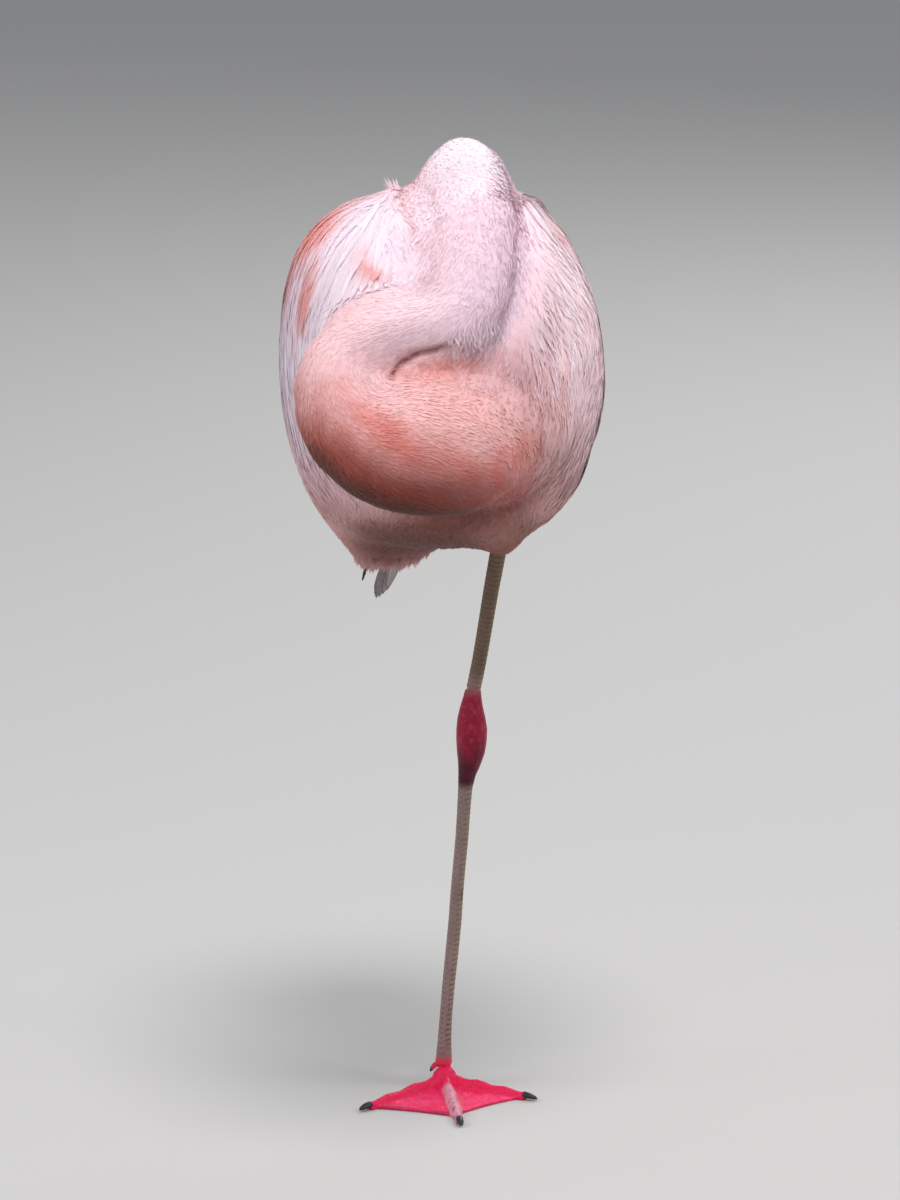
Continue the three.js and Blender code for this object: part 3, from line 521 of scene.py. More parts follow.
V_FLOW = flow_at(v, nrm)
tri_p = v[tri_v]
tri_area = 0.5 * np.linalg.norm(np.cross(tri_p[:, 1] - tri_p[:, 0], tri_p[:, 2] - tri_p[:, 0]), axis=1)
tri_mid = tri_p.mean(axis=1)
mid_t, mid_d, _, _ = neck_place(tri_mid)
mid_s, mid_z, mid_side = body_place(tri_mid)
mid_head = np.linalg.norm(tri_mid - HEAD_AT, axis=1)
is_head = mid_head < 41
is_neck = (~is_head) & (mid_d < 4) & (mid_t > 0.1 + 0.05 * noise3(tri_mid, 12.0, 4))
is_body = ~(is_head | is_neck)


def scatter(mask, spacing, seed):
    """Evenly spread roots on the masked triangles: place, normal, flow, triangle and unwrap place."""
    r = np.random.default_rng(seed)
    idx = np.flatnonzero(mask)
    area = tri_area[idx]
    n = int(area.sum() / spacing ** 2 * 3.2)
    cum = np.cumsum(area)
    pick = idx[np.minimum(np.searchsorted(cum, r.random(n) * cum[-1]), len(idx) - 1)]
    a, b = r.random(n), r.random(n)
    flip = a + b > 1
    a[flip], b[flip] = 1 - a[flip], 1 - b[flip]
    w = np.stack([1 - a - b, a, b], axis=1)[:, :, None]
    p = (v[tri_v[pick]] * w).sum(axis=1)
    cell = np.floor(p / (spacing * 0.86)).astype(np.int64)
    key = (cell[:, 0] * 1000003 + cell[:, 1]) * 1000003 + cell[:, 2]
    _, first = np.unique(key, return_index=True)
    first = np.sort(first)
    p, pick, w = p[first], pick[first], w[first]
    n_ = unit((nrm[tri_v[pick]] * w).sum(axis=1))
    f_ = unit((V_FLOW[tri_v[pick]] * w).sum(axis=1))
    uv = (loop_uv[tri_l[pick]] * w).sum(axis=1)
    return p, n_, f_, uv


def turned(f, n, angle):
    c, s = np.cos(angle)[:, None], np.sin(angle)[:, None]
    return unit(f * c + np.cross(n, f) * s)


def spines(p, n, f, length, count):
    """Points down each feather's middle, walked over the skin, with the skin's normal at each."""
    P = np.empty((len(p), count, 3))
    N = np.empty((len(p), count, 3))
    P[:, 0], N[:, 0] = p, n
    step = length / (count - 1)
    for k in range(1, count):
        guess = P[:, k - 1] + f * step[:, None]
        at = np.empty_like(guess)
        nn = np.empty_like(guess)
        for i, g in enumerate(guess):
            loc, no, _, dist = tree.find_nearest(g)
            at[i] = loc
            nn[i] = no
        # a feather doesn't dive into a crevice: it keeps on where the skin falls away
        gap = np.linalg.norm(at - guess, axis=1)
        far = (gap > 0.45 * step + 2.0)
        at[far] = guess[far] - N[:, k - 1][far] * 0.15 * step[far][:, None]
        nn[far] = N[:, k - 1][far]
        nn = unit(0.6 * nn + 0.4 * N[:, k - 1])
        P[:, k], N[:, k] = at, nn
        f = unit(at - P[:, k - 1] + f * 1e-3)
        f = unit(f - nn * (f * nn).sum(axis=1, keepdims=True))
    return P, N


def feathers(p, n, f, uv, tone, length, width, lift, strips, segs, count=3, seed=1, ragged=0.15, camber=0.1, tip_pale=0.25, split=0.35, root=0.4, streaks=0.05, sharp=0.6, base_up=-0.4, local=0.5, free=None):
    """Vanes of narrow strips side by side, parted towards the tip. Returns vertices, faces, tones and unwrap places."""
    r = np.random.default_rng(seed)
    m = len(p)
    if free is None:
        P, N = spines(p, n, f, length, count)
    else:
        k = np.linspace(0, 1, count)[None, :, None]
        P = p[:, None] + (f[:, None] * (1 - 0.5 * k) + free[:, None] * 0.5 * k) * k * length[:, None, None]
        N = np.repeat(n[:, None], count, axis=1)
    u = np.linspace(0, 1, segs + 1)
    own = tone / np.maximum(plumage_tone_and_shade(p), 0.02)
    local_ = np.stack([tone] + [plumage_tone_and_shade(P[:, k]) * own for k in range(1, count)], axis=1)
    local_ = local_ * local + tone[:, None] * (1 - local)
    x = u * (count - 1)
    i = np.minimum(x.astype(int), count - 2)
    w = (x - i)[None, :, None]
    if count > 2:
        Pp = np.concatenate([2 * P[:, :1] - P[:, 1:2], P, 2 * P[:, -1:] - P[:, -2:-1]], axis=1)
        a, b, c, d = Pp[:, i], Pp[:, i + 1], Pp[:, i + 2], Pp[:, i + 3]
        C = 0.5 * ((2 * b) + (c - a) * w + (2 * a - 5 * b + 4 * c - d) * w ** 2 + (3 * b - a - 3 * c + d) * w ** 3)
    else:
        C = P[:, i] * (1 - w) + P[:, i + 1] * w
    NN = unit(N[:, i] * (1 - w) + N[:, i + 1] * w)
    TT = unit(np.gradient(C, axis=1))
    BB = unit(np.cross(NN, TT))
    prof = np.minimum(1, (u / 0.25 + root) / (1 + root)) * np.power(np.maximum(1 - u ** 3, 0.0), sharp)
    prof = np.maximum(prof, 0.04)
    vs, cs, us = [], [], []
    for k in range(strips):
        mid = (k + 0.5) / strips * 2 - 1
        half = 1.0 / strips
        end = 1 - ragged * (mid ** 2) - ragged * 0.8 * r.random(m)
        uu = u[None, :] * end[:, None]
        # follow the spine to this strip's own end
        xi = uu * segs
        ii = np.minimum(xi.astype(int), segs - 1)
        ww = (xi - ii)[..., None]
        rows = np.arange(m)[:, None]
        c = C[rows, ii] * (1 - ww) + C[rows, ii + 1] * ww
        nn = NN[rows, ii]
        bb = BB[rows, ii]
        wide = (width[:, None] / 2) * prof[None, :]
        drift = mid + (r.random(m)[:, None] - 0.5) * 0.5 / strips * u[None, :]
        centre = wide * drift
        narrow = wide * half * (1 + 0.25) * (1 - split * u[None, :] ** 2)
        up = base_up + lift[:, None] * np.power(u[None, :], 1.3) - camber * width[:, None] * (mid ** 2) + 0.12 * (k % 2) + (r.random(m)[:, None] - 0.5) * 0.25 * lift[:, None] * u[None, :] ** 2
        left = c + bb * (centre - narrow)[..., None] + nn * up[..., None]
        right = c + bb * (centre + narrow)[..., None] + nn * (up - 0.05)[..., None]
        tipv = c[:, -1:] + bb[:, -1:] * centre[:, -1:, None] + nn[:, -1:] * up[:, -1:, None]
        vs.append(np.concatenate([np.stack([left[:, :-1], right[:, :-1]], axis=2).reshape(m, -1, 3), tipv], axis=1))
        shade = (1 + streaks * (r.random(m) - 0.5) * 2)[:, None]
        # darker towards the root: mild painted shade where each vane lies under the ones above
        grade = (0.93 + 0.09 * u)[None, :] * shade
        tcol = (local_[:, i] * (1 - w) + local_[:, i + 1] * w) * grade[..., None]
        pale = tip_pale * u[None, :, None] ** 1.5
        tcol = tcol * (1 - pale) + (0.12 * WHITE * tcol.max(axis=2, keepdims=True) + 0.88 * np.minimum(tcol * 1.28, 1)) * pale
        cs.append(np.concatenate([np.repeat(tcol[:, :-1], 2, axis=1), tcol[:, -1:]], axis=1))
        pu = uv[:, None, 0] + (u[None, :] - 0.5) * 0.003
        pl = uv[:, None, 1] + ((mid - half) * 0.5) * 0.003 + 0 * pu
        pr = uv[:, None, 1] + ((mid + half) * 0.5) * 0.003 + 0 * pu
        uvs = np.stack([np.stack([pu[:, :-1], pl[:, :-1]], axis=-1), np.stack([pu[:, :-1], pr[:, :-1]], axis=-1)], axis=2).reshape(m, -1, 2)
        us.append(np.concatenate([uvs, np.stack([pu[:, -1:], (pl + pr)[:, -1:] / 2], axis=-1)], axis=1))
    V = np.stack(vs, axis=1).reshape(-1, 3)
    Cc = np.stack(cs, axis=1).reshape(-1, 3)
    U = np.stack(us, axis=1).reshape(-1, 2)
    per = 2 * segs + 1
    base = (np.arange(m * strips) * per)[:, None]
    q = [np.stack([base[:, 0] + 2 * j, base[:, 0] + 2 * j + 2, base[:, 0] + 2 * j + 3, base[:, 0] + 2 * j + 1], axis=1) for j in range(segs - 1)]
    quads_ = np.vstack(q) if q else np.zeros((0, 4), int)
    tris_ = np.stack([base[:, 0] + per - 3, base[:, 0] + per - 1, base[:, 0] + per - 2], axis=1)
    return V, quads_, tris_, np.clip(Cc, 0, 1), U, strips * per, m


COUNT = {"tris": 0}


def coat(name, made, material=MAT_COAT, limit=190000):
    """Puts feathers in the scene in pieces below the size limit."""
    V, Q, T, Cc, U, per, m = made
    tri_each = (2 * len(Q) + len(T)) / max(m, 1)
    parts = max(1, math.ceil(m * tri_each / limit))
    size = math.ceil(m / parts)
    for k in range(parts):
        lo, hi = k * size, min(m, (k + 1) * size)
        a, b = lo * per, hi * per
        q = Q[(Q[:, 0] >= a) & (Q[:, 0] < b)] - a
        t = T[(T[:, 0] >= a) & (T[:, 0] < b)] - a
        o = make(f"{name}_{k + 1}", V[a:b] * MM, [q, t], material, Cc[a:b], U[a:b])
        COUNT["tris"] += 2 * len(q) + len(t)
        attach(o, "root")


def jitter(n, amount):
    return 1 + amount * (rng.random(n) * 2 - 1)


def eye_clear(p, radius):
    keep = np.ones(len(p), bool)
    for sign in (1, -1):
        at = HEAD_AT + FACE * EYE[0] + CHEEK * sign * EYE[1] + CROWN * EYE[2]
        keep &= np.linalg.norm(p - at, axis=1) > radius
    return keep


def trimmed(p, f, length, gap=2.0, least=5.0):
    """Feather lengths cut short where they would run onto the neck or the head."""
    ok = np.full(len(p), 1e9)
    for k in (1.0, 0.8, 0.6, 0.4, 0.2):
        q = p + f * (length * k)[:, None]
        hit = (neck_place(q)[1] < gap) | (np.linalg.norm(q - HEAD_AT, axis=1) < 40)
        ok = np.where(hit, length * (k - 0.2), ok)
    return np.maximum(np.minimum(length, ok), least)


def clear_of(p, points, gap, y_max):
    px, py = front(p)
    return (line_distance(px, py, points) > gap) | (p[:, 1] > y_max)


# head
p, n, f, uv = scatter(is_head, 1.45, 11)
k = eye_clear(p, 6.0)
p, n, f, uv = p[k], n[k], f[k], uv[k]
m = len(p)
tone = plumage_tone_and_shade(p) * jitter(m, 0.05)[:, None]
downy = smooth(484, 500, front(p)[0]) * smooth(30, -10, p[:, 1])
coat("coat_head", feathers(p, n, turned(f, n, rng.normal(0, 0.3, m)), uv, tone, (3.9 + 2.0 * downy) * jitter(m, 0.3), 1.4 * jitter(m, 0.25), (0.8 + 1.3 * downy) * jitter(m, 0.6), 2, 2, 2, 21, ragged=0.25, tip_pale=0.5, split=0.6))
# neck
p, n, f, uv = scatter(is_neck, 1.75, 12)
k = clear_of(p, CREVICE, 3.2, -110)
p, n, f, uv = p[k], n[k], f[k], uv[k]
m = len(p)
tn, _, on, _ = neck_place(p)
px, py = front(p)
size = np.interp(tn, [0, 0.15, 0.3, 0.6, 1], [1.9, 1.5, 1.2, 1.0, 0.85])
tone = plumage_tone_and_shade(p) * jitter(m, 0.05)[:, None]
fringe = spot(px, py, 478, 338, 26, 14, -12) * (p[:, 1] < -120)
sway = noise3(p, 16.0, 7) * 0.18 + rng.normal(0, 0.09, m)
hang = unit(f * (1 - fringe)[:, None] + (-UP * 0.9 + np.array([0.1, 0, 0])) * fringe[:, None])
hang = unit(hang - n * (hang * n).sum(axis=1, keepdims=True))
coat("coat_neck", feathers(p, n, turned(hang, n, sway), uv, tone, 7.4 * size * jitter(m, 0.3) * (1 + 0.9 * fringe), 1.6 * size * jitter(m, 0.25), (0.35 + 0.3 * size + 0.45 * smooth(0.55, 0.7, tn)) * jitter(m, 0.6) * (1 + 0.8 * fringe), 3, 2, 3, 22, ragged=0.3, tip_pale=0.38, split=0.65, streaks=0.07, base_up=-0.3))
# body
p, n, f, uv = scatter(is_body, 3.7, 13)
k = clear_of(p, CREVICE, 3.2, -110)
p, n, f, uv = p[k], n[k], f[k], uv[k]
m = len(p)
s, z, side = body_place(p)
tone = plumage_tone_and_shade(p) * jitter(m, 0.05)[:, None]
near_neck = smooth(26, 4, neck_place(p)[1])
big = (1 + 0.2 * smooth(0, 80, s) + 0.15 * smooth(30, 90, side)) * (1 - 0.3 * near_neck) * (0.55 + 0.45 * smooth(352, 400, z))
sway = noise3(p, 26.0, 7) * 0.4 + rng.normal(0, 0.13, m)
f = turned(f, n, sway)
vent = smooth(355, 340, z) * smooth(90, 115, s)
long_ = trimmed(p, f, 17.0 * big * jitter(m, 0.3) * (1 + 0.25 * vent), 1.0, 6.0)
coat("coat_body", feathers(p, n, f, uv, tone, long_, 5.4 * big * jitter(m, 0.25), (1.15 + 0.6 * noise3(p, 14.0, 8)) * jitter(m, 0.4), 5, 3, 3, 23, ragged=0.35, tip_pale=0.5, split=0.75, streaks=0.1))

# loose fluff that hangs at the vent and round the thigh
p, n, f, uv = scatter(is_body & (mid_z < 338) & (mid_s > 96), 4.4, 15)
m = len(p)
down = unit(np.array([-0.12, -0.1, -1.0]) + rng.normal(0, 0.22, (m, 3)))
lean = unit(f * 0.95 + n * 0.12 + down * 0.3)
tone = plumage_tone_and_shade(p) * jitter(m, 0.07)[:, None]
coat("coat_vent", feathers(p - n * 0.6, n, lean, uv, tone, 8.0 * jitter(m, 0.4), 3.2 * jitter(m, 0.3), 0.5 * jitter(m, 0.5), 4, 3, 3, 25, ragged=0.4, tip_pale=0.5, split=0.8, streaks=0.1, local=0.0, free=unit(down + f * 0.8)))

# wings: long narrow plumes over the right wing, ruffled shorter ones over the left flank
mid_px, mid_py = front(tri_mid)
wing_zone = (mid_side < -12) & (mid_z > 402) & (mid_s < 150) & ~((mid_py > 385) & (tri_mid[:, 1] < 45)) & ~((mid_px > 396) & (tri_mid[:, 1] < 0)) & (mid_d > 9)
wing_zone_l = (mid_side > 42) & (mid_z > 440) & (mid_s > -60) & (mid_d > 5)
for name, zone, seed, spacing, long_, wide in (("coat_wing_right", is_body & wing_zone, 31, 6.0, 1.3, 0.66), ("coat_wing_left", is_body & wing_zone_l, 32, 7.0, 0.75, 0.8)):
    p, n, f, uv = scatter(zone, spacing, seed)
    s, z, side = body_place(p)
    m = len(p)
    tone = plumage_tone_and_shade(p)
    tone = mix(tone, WHITE, 0.25 * rng.random(m)) * jitter(m, 0.04)[:, None]
    length = np.interp(s, [-90, -30, 60, 150], [34, 44, 56, 44]) * jitter(m, 0.25) * long_
    length = np.minimum(length, np.maximum((z - 350) * 0.95, 12))  # none reaches past the vent
    width = np.interp(length, [14, 30, 70], [6.5, 8.5, 9.5]) * jitter(m, 0.15) * wide
    sway = noise3(p, 36.0, 9) * 0.25 + rng.normal(0, 0.09, m)
    f = turned(f, n, sway)
    length = trimmed(p, f, length, 4.0, 9.0)
    coat(name, feathers(p, n, f, uv, tone, length, width, (1.0 if seed == 31 else 0.7) * jitter(m, 0.5), 5, 7, 6, seed + 100, ragged=0.08, camber=0.05, tip_pale=0.2, split=0.3, streaks=0.08, base_up=0.2, local=0.8))

# the upper neck ends over the breast in a downy fringe, and a loose tuft stands beside the head
zone = is_neck & (spot(mid_px, mid_py, 484, 342, 44, 11, -22) > 0.42) & (tri_mid[:, 1] < -85)
p, n, f, uv = scatter(zone, 2.1, 16)
m = len(p)
hang = unit(LEFT * 0.2 - UP + rng.normal(0, 0.16, (m, 3)))
lean = unit(hang - n * ((hang * n).sum(axis=1, keepdims=True) * 0.8))
tone = mix(plumage_tone_and_shade(p), WHITE, 0.3 * rng.random(m)) * jitter(m, 0.04)[:, None]
coat("coat_fringe", feathers(p, n, lean, uv, tone, 8.0 * jitter(m, 0.4), 1.15 * jitter(m, 0.3), 0.7 * jitter(m, 0.5), 2, 4, 3, 26, ragged=0.35, tip_pale=0.7, split=0.75, streaks=0.08, local=0.0, free=hang))
zone = is_body & (np.hypot(mid_px - 399, mid_py - 194) < 6) & (tri_mid[:, 1] < 40)
p, n, f, uv = scatter(zone, 4.6, 17)
m = len(p)
rise = unit(UP * 0.7 - LEFT * 0.6 + rng.normal(0, 0.3, (m, 3)))
tone = mix(plumage_tone_and_shade(p), WHITE, np.full(m, 0.7))
coat("coat_tuft", feathers(p, n, unit(rise + n * 0.4), uv, tone, 9.0 * jitter(m, 0.45), 1.1 * jitter(m, 0.3), 0.4 * jitter(m, 0.5), 2, 4, 3, 27, ragged=0.4, tip_pale=0.5, split=0.8, streaks=0.05, local=0.0, free=rise))

# ------------------------------------------------------------------ tail and primaries, vane over vane
def body_point(s, z, side):
    side = side - 6 * (max(0, s - 45) / 110) ** 2 - (z - 490) * LEAN
    return MID + BACK * s + LEFT * side + UP * z


def vane_stack(name, root, tip, ref, spread, length_step, count, width, colour, edge, material, node):
    """A stack of stiff feathers that fans from root to tip."""
    vs, fs, cs, k0 = [], [], [], 0
    r = np.random.default_rng(len(name))
    axis = tip - root
    L = np.linalg.norm(axis)
    T = axis / L
    N = unit(ref - T * (ref @ T))
    B = np.cross(N, T)
    S, A = 16, 6
    for j in range(count):
        f = (j + 0.5) / count * 2 - 1
        end = L * (1 - length_step * abs(f) ** 1.5)
        u = np.linspace(0, 1, S + 1)
        w = width / 2 * np.minimum(1, 0.55 + u) * np.power(np.maximum(1 - u ** 3, 0), 0.8)
        mid = root + T[None] * (u * end)[:, None] + B[None] * (f * spread * (0.35 + 0.65 * u))[:, None] + N[None] * (1.2 * (1 - abs(f)) - 0.5 + 0.25 * j % 2)
        for a in range(A + 1):
            g = a / A * 2 - 1
            vs.append(mid + B[None] * (g * w)[:, None] - N[None] * (0.10 * width * g * g)[None].T if False else mid + B[None] * (g * w)[:, None] - N[None] * (0.08 * width * g * g))
            shaft = 0.8 if a == A // 2 else 1.0
            c = mix(np.tile(colour, (S + 1, 1)), edge, np.clip(abs(g) ** 3 * 0.8 + 0 * u, 0, 1)) * shaft * (1 + 0.1 * (r.random() - 0.5))
            cs.append(c)
        for a in range(A):
            for i in range(S):
                p0 = k0 + a * (S + 1) + i
                fs.append([p0, p0 + 1, p0 + S + 2, p0 + S + 1])
        k0 += (A + 1) * (S + 1)
    o = make(name, np.vstack(vs) * MM, np.array(fs), material, np.vstack(cs))
    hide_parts(node)
    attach(o, "root")
    return o


ref_tail = unit(BACK + UP)
vane_stack("tail_vanes", body_point(132, 349, 4), body_point(190, 292, 4), ref_tail, 5.0, 0.2, 7, 9.0, rgb(176, 164, 164), rgb(136, 122, 126), MAT_FLIGHT, "tail")
for sign, nm in ((1, "left"), (-1, "right")):
    vane_stack(f"primary_vanes_{nm}", body_point(104, 392, sign * 19), body_point(174 if sign < 0 else 163, 310 if sign < 0 else 323, sign * 10), LEFT * sign + UP * 0.25, 5.0, 0.15, 5, 10.0, rgb(30, 26, 30), rgb(14, 12, 15), MAT_FLIGHT, f"primaries_{nm}")

# ------------------------------------------------------------------ leg and foot
LEG = ["tibia_left", "ankle_left", "shank_left", "foot_left", "toe_left_inner", "toe_left_middle", "toe_left_outer", "web_left_inner", "web_left_outer", "hallux_left"]
lv, lq = remeshed("leg_raw", LEG, 0.00085)
lv = relax(lv, lq, 4)
lv[:, 2] = np.where(lv[:, 2] < 0.6, np.maximum(lv[:, 2], 0.0), lv[:, 2])
ln = vertex_normals(lv, lq)
x, y, z = lv.T
axis_x = np.interp(z, [0, 15, 40, 71, 108, 137, 166, 192, 205, 222, 242, 262, 283, 309, 338, 366], [-2, -2.2, -1.2, 1.2, 5, 6.9, 9.6, 11.3, 12.3, 15.2, 16.2, 16.6, 20, 24, 28.2, 32.6])
axis_y = np.interp(z, [0, 15, 40, 71, 108, 137, 166, 192, 205, 222, 242, 262, 283, 309, 338, 366], [0, 0, 0.4, 1, 2, 2.7, 3.6, 4.4, 5, 7, 8.2, 7, 2, -7, -16, -27])
ang = np.arctan2(x - axis_x, -(y - axis_y))
shaft = smooth(20, 30, z)
wave = z / 3.4 + 0.35 * np.cos(ang) + 0.25 * np.sin(ang * 1.0)
saw = wave - np.floor(wave)
front = smooth(-0.1, 0.5, np.cos(ang))
in_ankle = smooth(202, 208, z) * smooth(272, 264, z)
lv = lv + ln * ((saw - 0.5) * 0.28 * shaft * (0.35 + 0.65 * front) * (1 - in_ankle))[:, None]
toe_angle = np.degrees(np.arctan2(x + 1.5, -(y + 4)))
reach = np.hypot(x + 1.5, y + 4)
near_toe = np.minimum.reduce([np.abs(toe_angle - a) * np.pi / 180 * reach for a in (-45, 7, 62)])
on_toe = smooth(5.2, 3.6, near_toe) * smooth(18, 10, z)
tw = reach / 3.1
lv = lv + ln * (((tw - np.floor(tw)) - 0.5) * 0.35 * on_toe * smooth(0.4, 0.9, ln[:, 2]))[:, None]
web = smooth(3.6, 5.5, near_toe) * smooth(6, 3, z) * smooth(8, 14, reach)
ripple = np.sin(np.hypot(x + 1.5, y + 4) * 0.55 + 3 * noise3(lv, 14.0, 2)) * 0.25
lv[:, 2] += np.where(lv[:, 2] > 1.2, ripple * web, 0)
GREY, MAUVE, OLIVE = rgb(138, 118, 110), rgb(154, 127, 124), rgb(148, 132, 98)
MAGENTA, MAROON, RED, PINKR, MIDTOE = rgb(148, 18, 50), rgb(70, 12, 30), rgb(232, 26, 84), rgb(250, 66, 124), rgb(220, 160, 178)
c = mix(np.tile(GREY, (len(lv), 1)), MAUVE, 0.5 + 0.5 * noise3(lv, 9.0, 4))
c = mix(c, OLIVE, smooth(0.2, 0.9, np.sin(ang)) * 0.7 * smooth(40, 80, z))
c = mix(c, rgb(74, 54, 50), smooth(0.2, 0.0, saw) * (0.55 + 0.4 * smooth(110, 40, z)) * shaft)
c = mix(c, rgb(58, 44, 48), smooth(6, 2.5, np.abs(z - 131)) * smooth(0.3, 0.8, np.sin(ang)) * 0.7)
ank = mix(np.tile(MAGENTA, (len(lv), 1)), MAROON, smooth(244, 208, z + 8 * noise3(lv, 6.0, 1)))
ank = mix(ank, rgb(196, 64, 108), smooth(0.15, 0.6, noise3(lv, 2.6, 12)) * 0.45 * smooth(222, 240, z))
c = mix(c, ank, smooth(200, 208, z) * smooth(276, 262, z))
c = mix(c, MAROON, smooth(30, 14, z) * 0.25)
c = c * (1 - np.array([0.46, 0.5, 0.64]) * smooth(268, 285, z)[:, None])
foot = mix(np.tile(RED, (len(lv), 1)), PINKR, np.clip(0.35 + 0.5 * noise3(lv, 7.0, 6), 0, 1) * web)
mid_toe = smooth(5.0, 3.8, np.abs(toe_angle - 7) * np.pi / 180 * reach) * smooth(14, 22, reach)
speck = smooth(0.25, 0.6, noise3(lv, 2.2, 9))
foot = mix(foot, MIDTOE, mid_toe * 0.85)
foot = mix(foot, rgb(96, 60, 72), mid_toe * speck * 0.6)
front_edge = smooth(0.0, 1.0, (reach - 52) / 10) * web
foot = mix(foot, rgb(120, 24, 44), front_edge * 0.45)
c = mix(c, foot, smooth(24, 15, z))
leg = make("leg_and_foot", lv * MM, lq, MAT_LEG, np.clip(c, 0, 1))
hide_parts(*LEG)
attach(leg, "root")


def claw(name, node, base, direction, length, half, high, drop):
    """A blunt curved claw with a ridge along its top."""
    S, A = 10, 14
    d = unit(np.array(direction, float))
    side = np.cross(UP, d)
    side = side / np.linalg.norm(side)
    vs, fs = [], []
    for i in range(S + 1):
        t = i / S
        c0 = np.array(base) + d * (length * t) - UP * (drop * t * t)
        w, h = half * math.sqrt(max(1 - t ** 2.4, 0.015)), high * math.sqrt(max(1 - t ** 2.2, 0.02))
        for a in range(A):
            q = 2 * math.pi * a / A
            vs.append(c0 + side * (w * math.cos(q)) + UP * (h * math.sin(q) * (1.15 if math.sin(q) > 0 else 0.7)))
    for i in range(S):
        for a in range(A):
            fs.append([i * A + a, i * A + (a + 1) % A, (i + 1) * A + (a + 1) % A, (i + 1) * A + a])
    vs = np.array(vs)
    tip = len(vs)
    vs = np.vstack([vs, vs[:A].mean(axis=0), vs[-A:].mean(axis=0)])
    t1 = np.array([[(a + 1) % A, a, tip] for a in range(A)])
    t2 = np.array([[S * A + a, S * A + (a + 1) % A, tip + 1] for a in range(A)])
    vs[:, 2] = np.maximum(vs[:, 2], 0.15)
    o = make(name, vs * MM, [np.array(fs), np.vstack([t1, t2])], MAT_HORN, np.tile(rgb(52, 48, 58), (len(vs), 1)))
    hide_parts(node)
    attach(o, "root")


for nm, angle, length in (("inner", -45, 70), ("middle", 7, 80), ("outer", 62, 60)):
    a = math.radians(angle)
    d = np.array([math.sin(a), -math.cos(a), 0.0])
    claw(f"claw_{nm}", f"claw_left_{nm}", np.array([-1.5, -4, 3.0]) + d * (length - 1.2), d, 10.0, 2.5, 2.2, 1.2)
claw("claw_hallux", "claw_left_hallux", np.array([-9.4, 16.2, 7.0]), (-0.3, 0.8, -0.75), 5.5, 1.6, 1.4, 0.3)

# ------------------------------------------------------------------ closed eyelids
def lid(name, sign):
    """The closed lid, and the eye itself under it."""
    at = HEAD_AT + FACE * EYE[0] + CHEEK * sign * EYE[1] + CROWN * EYE[2]
    out = CHEEK * sign
    R, S, A = 5.9, 12, 36
    vs, fs, cs = [], [], []
    for i in range(S + 1):
        th = math.radians(2 + 66 * i / S)
        for a in range(A):
            q = 2 * math.pi * a / A
            e = FACE * math.cos(q) + CROWN * math.sin(q)
            x0, y0 = math.sin(th) * math.cos(q), math.sin(th) * math.sin(q)
            slit = y0 + 0.18 - 0.35 * x0 * x0
            groove = math.exp(-(slit / 0.05) ** 2) * (1 if abs(x0) < 0.7 else 0)
            fold = 0.10 * math.sin(abs(slit) * 28) * math.exp(-abs(slit) * 2)
            vs.append(at + (e * math.sin(th) + out * math.cos(th)) * (R - 0.55 * groove + fold))
            base = PEACH * 0.75 + LILAC * 0.2
            cs.append(base * (1 - 0.75 * groove) * (1 - 0.12 * (0.5 + 0.5 * math.sin(slit * 28))))
    for i in range(S):
        for a in range(A):
            fs.append([i * A + a, (i + 1) * A + a, (i + 1) * A + (a + 1) % A, i * A + (a + 1) % A])
    k0 = len(vs)
    vs.append(at + out * R)
    cs.append(PEACH * 0.7)
    tris = np.array([[a, (a + 1) % A, k0] for a in range(A)])
    o = make(name, np.array(vs) * MM, [np.array(fs), tris], MAT_SKIN, np.array(cs))
    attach(o, "root")
    ball, faces = [], []
    for i in range(13):
        for a in range(24):
            th, q = math.pi * i / 12, 2 * math.pi * a / 24
            ball.append(at + (FACE * math.cos(q) + CROWN * math.sin(q)) * (4.9 * math.sin(th)) + out * (4.9 * math.cos(th)))
            if i < 12:
                faces.append([i * 24 + a, (i + 1) * 24 + a, (i + 1) * 24 + (a + 1) % 24, i * 24 + (a + 1) % 24])
    ball = np.array(ball)
    rim = np.linalg.norm(ball - at - out * 4.9, axis=1)
    tone = mix(np.tile(rgb(226, 200, 96), (len(ball), 1)), rgb(14, 12, 14), smooth(2.2, 1.9, rim))
    e = make(name.replace("eyelid", "eyeball"), ball * MM, np.array(faces), MAT_HORN, tone)
    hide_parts(name.replace("eyelid", "eye"))
    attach(e, "root")


lid("eyelid_left", 1)
lid("eyelid_right", -1)

# ------------------------------------------------------------------ the nodes kept from the frame
def plain(name, colour, rough, scale=300.0):
    m, nt, b = principled(name, rough)
    co = nt.nodes.new("ShaderNodeTexCoord")
    noise = nt.nodes.new("ShaderNodeTexNoise")
    noise.inputs["Scale"].default_value = scale
    nt.links.new(co.outputs["Object"], noise.inputs["Vector"])
    ramp = nt.nodes.new("ShaderNodeValToRGB")
    ramp.color_ramp.elements[0].color = (*(np.array(colour) * 0.8), 1)
    ramp.color_ramp.elements[1].color = (*np.minimum(np.array(colour) * 1.15, 1), 1)
    nt.links.new(noise.outputs["Fac"], ramp.inputs["Fac"])
    nt.links.new(ramp.outputs["Color"], b.inputs["Base Color"])
    return m


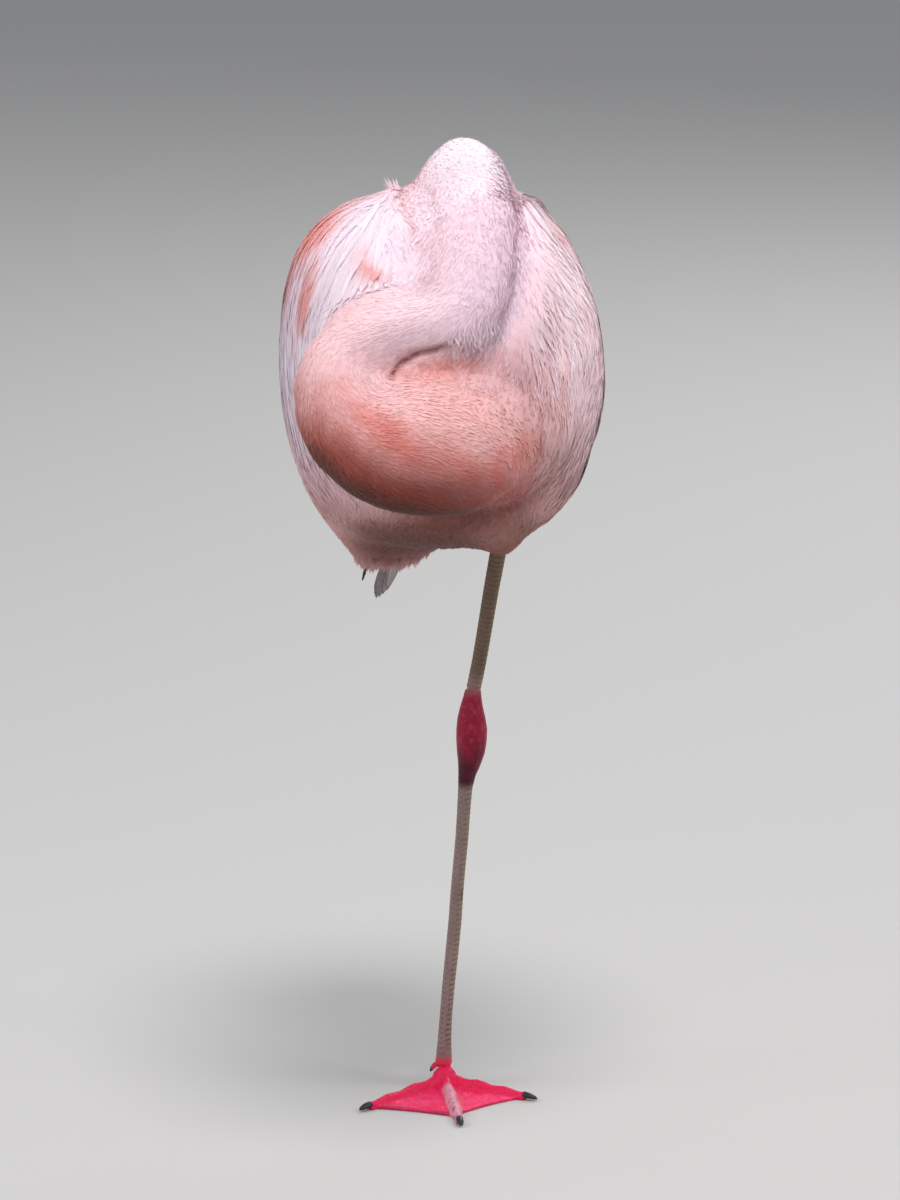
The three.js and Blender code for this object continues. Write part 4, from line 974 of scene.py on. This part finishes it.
KEPT = {
    "bill_upper": plain("bill_pale", rgb(226, 214, 204), 0.4), "bill_lower": plain("bill_dark", rgb(44, 38, 40), 0.35),
    "ankle_right": plain("folded_joint", MAGENTA, 0.5), "shank_right": plain("folded_shank", GREY, 0.5), "foot_right": plain("folded_foot", RED, 0.5),
}
for node, material in KEPT.items():
    NODES[node].data.materials.clear()
    NODES[node].data.materials.append(material)

# ------------------------------------------------------------------ floor, light and camera
bpy.ops.mesh.primitive_plane_add(size=40, location=(0, 8, 0))
floor = bpy.context.object
floor.name = "floor"
fm, nt, b = principled("floor_matt", 0.9)
b.inputs["Base Color"].default_value = (0.56, 0.55, 0.54, 1)
floor.data.materials.append(fm)


def area(name, at, look, size, power, colour=(1, 1, 1)):
    d = bpy.data.lights.new(name, "AREA")
    d.shape = "DISK"
    d.size = size
    d.energy = power
    d.color = colour
    o = bpy.data.objects.new(name, d)
    bpy.context.scene.collection.objects.link(o)
    o.location = at
    o.rotation_euler = (Vector(look) - Vector(at)).to_track_quat("-Z", "Y").to_euler()
    return o


area("key", (0.25, -1.1, 3.5), (0, -0.05, 0.45), 1.2, 62, (1, 0.985, 0.98))
area("fill", (-2.0, -3.0, 2.2), (0, 0, 0.45), 2.0, 13, (0.95, 0.97, 1.0))
area("rim", (0.9, 2.4, 1.9), (0, 0, 0.45), 1.5, 26)
area("side_right", (2.4, -0.7, 1.9), (0, 0, 0.45), 1.6, 27, (1, 0.99, 0.985))
area("side_left", (-2.4, -0.5, 1.8), (0, 0, 0.45), 1.6, 24, (0.98, 0.985, 1.0))
world = bpy.data.worlds.new("world")
bpy.context.scene.world = world
world.use_nodes = True
world.node_tree.nodes["Background"].inputs["Color"].default_value = (0.86, 0.9, 0.95, 1)
world.node_tree.nodes["Background"].inputs["Strength"].default_value = 0.34

cam_data = bpy.data.cameras.new("camera")
cam = bpy.data.objects.new("camera", cam_data)
bpy.context.scene.collection.objects.link(cam)
cam.location = (0.002, -4.8515, 1.5396)
cam.rotation_euler = (Vector((0.002, 0, 0.330)) - cam.location).to_track_quat("-Z", "Y").to_euler()
cam_data.lens = 230.8
cam_data.sensor_width = 36
cam_data.clip_end = 100
bpy.context.scene.camera = cam
bpy.context.scene.view_settings.view_transform = "Standard"
print("coat triangles", COUNT["tris"], "skin", len(quads) * 2, "leg", len(lq) * 2)
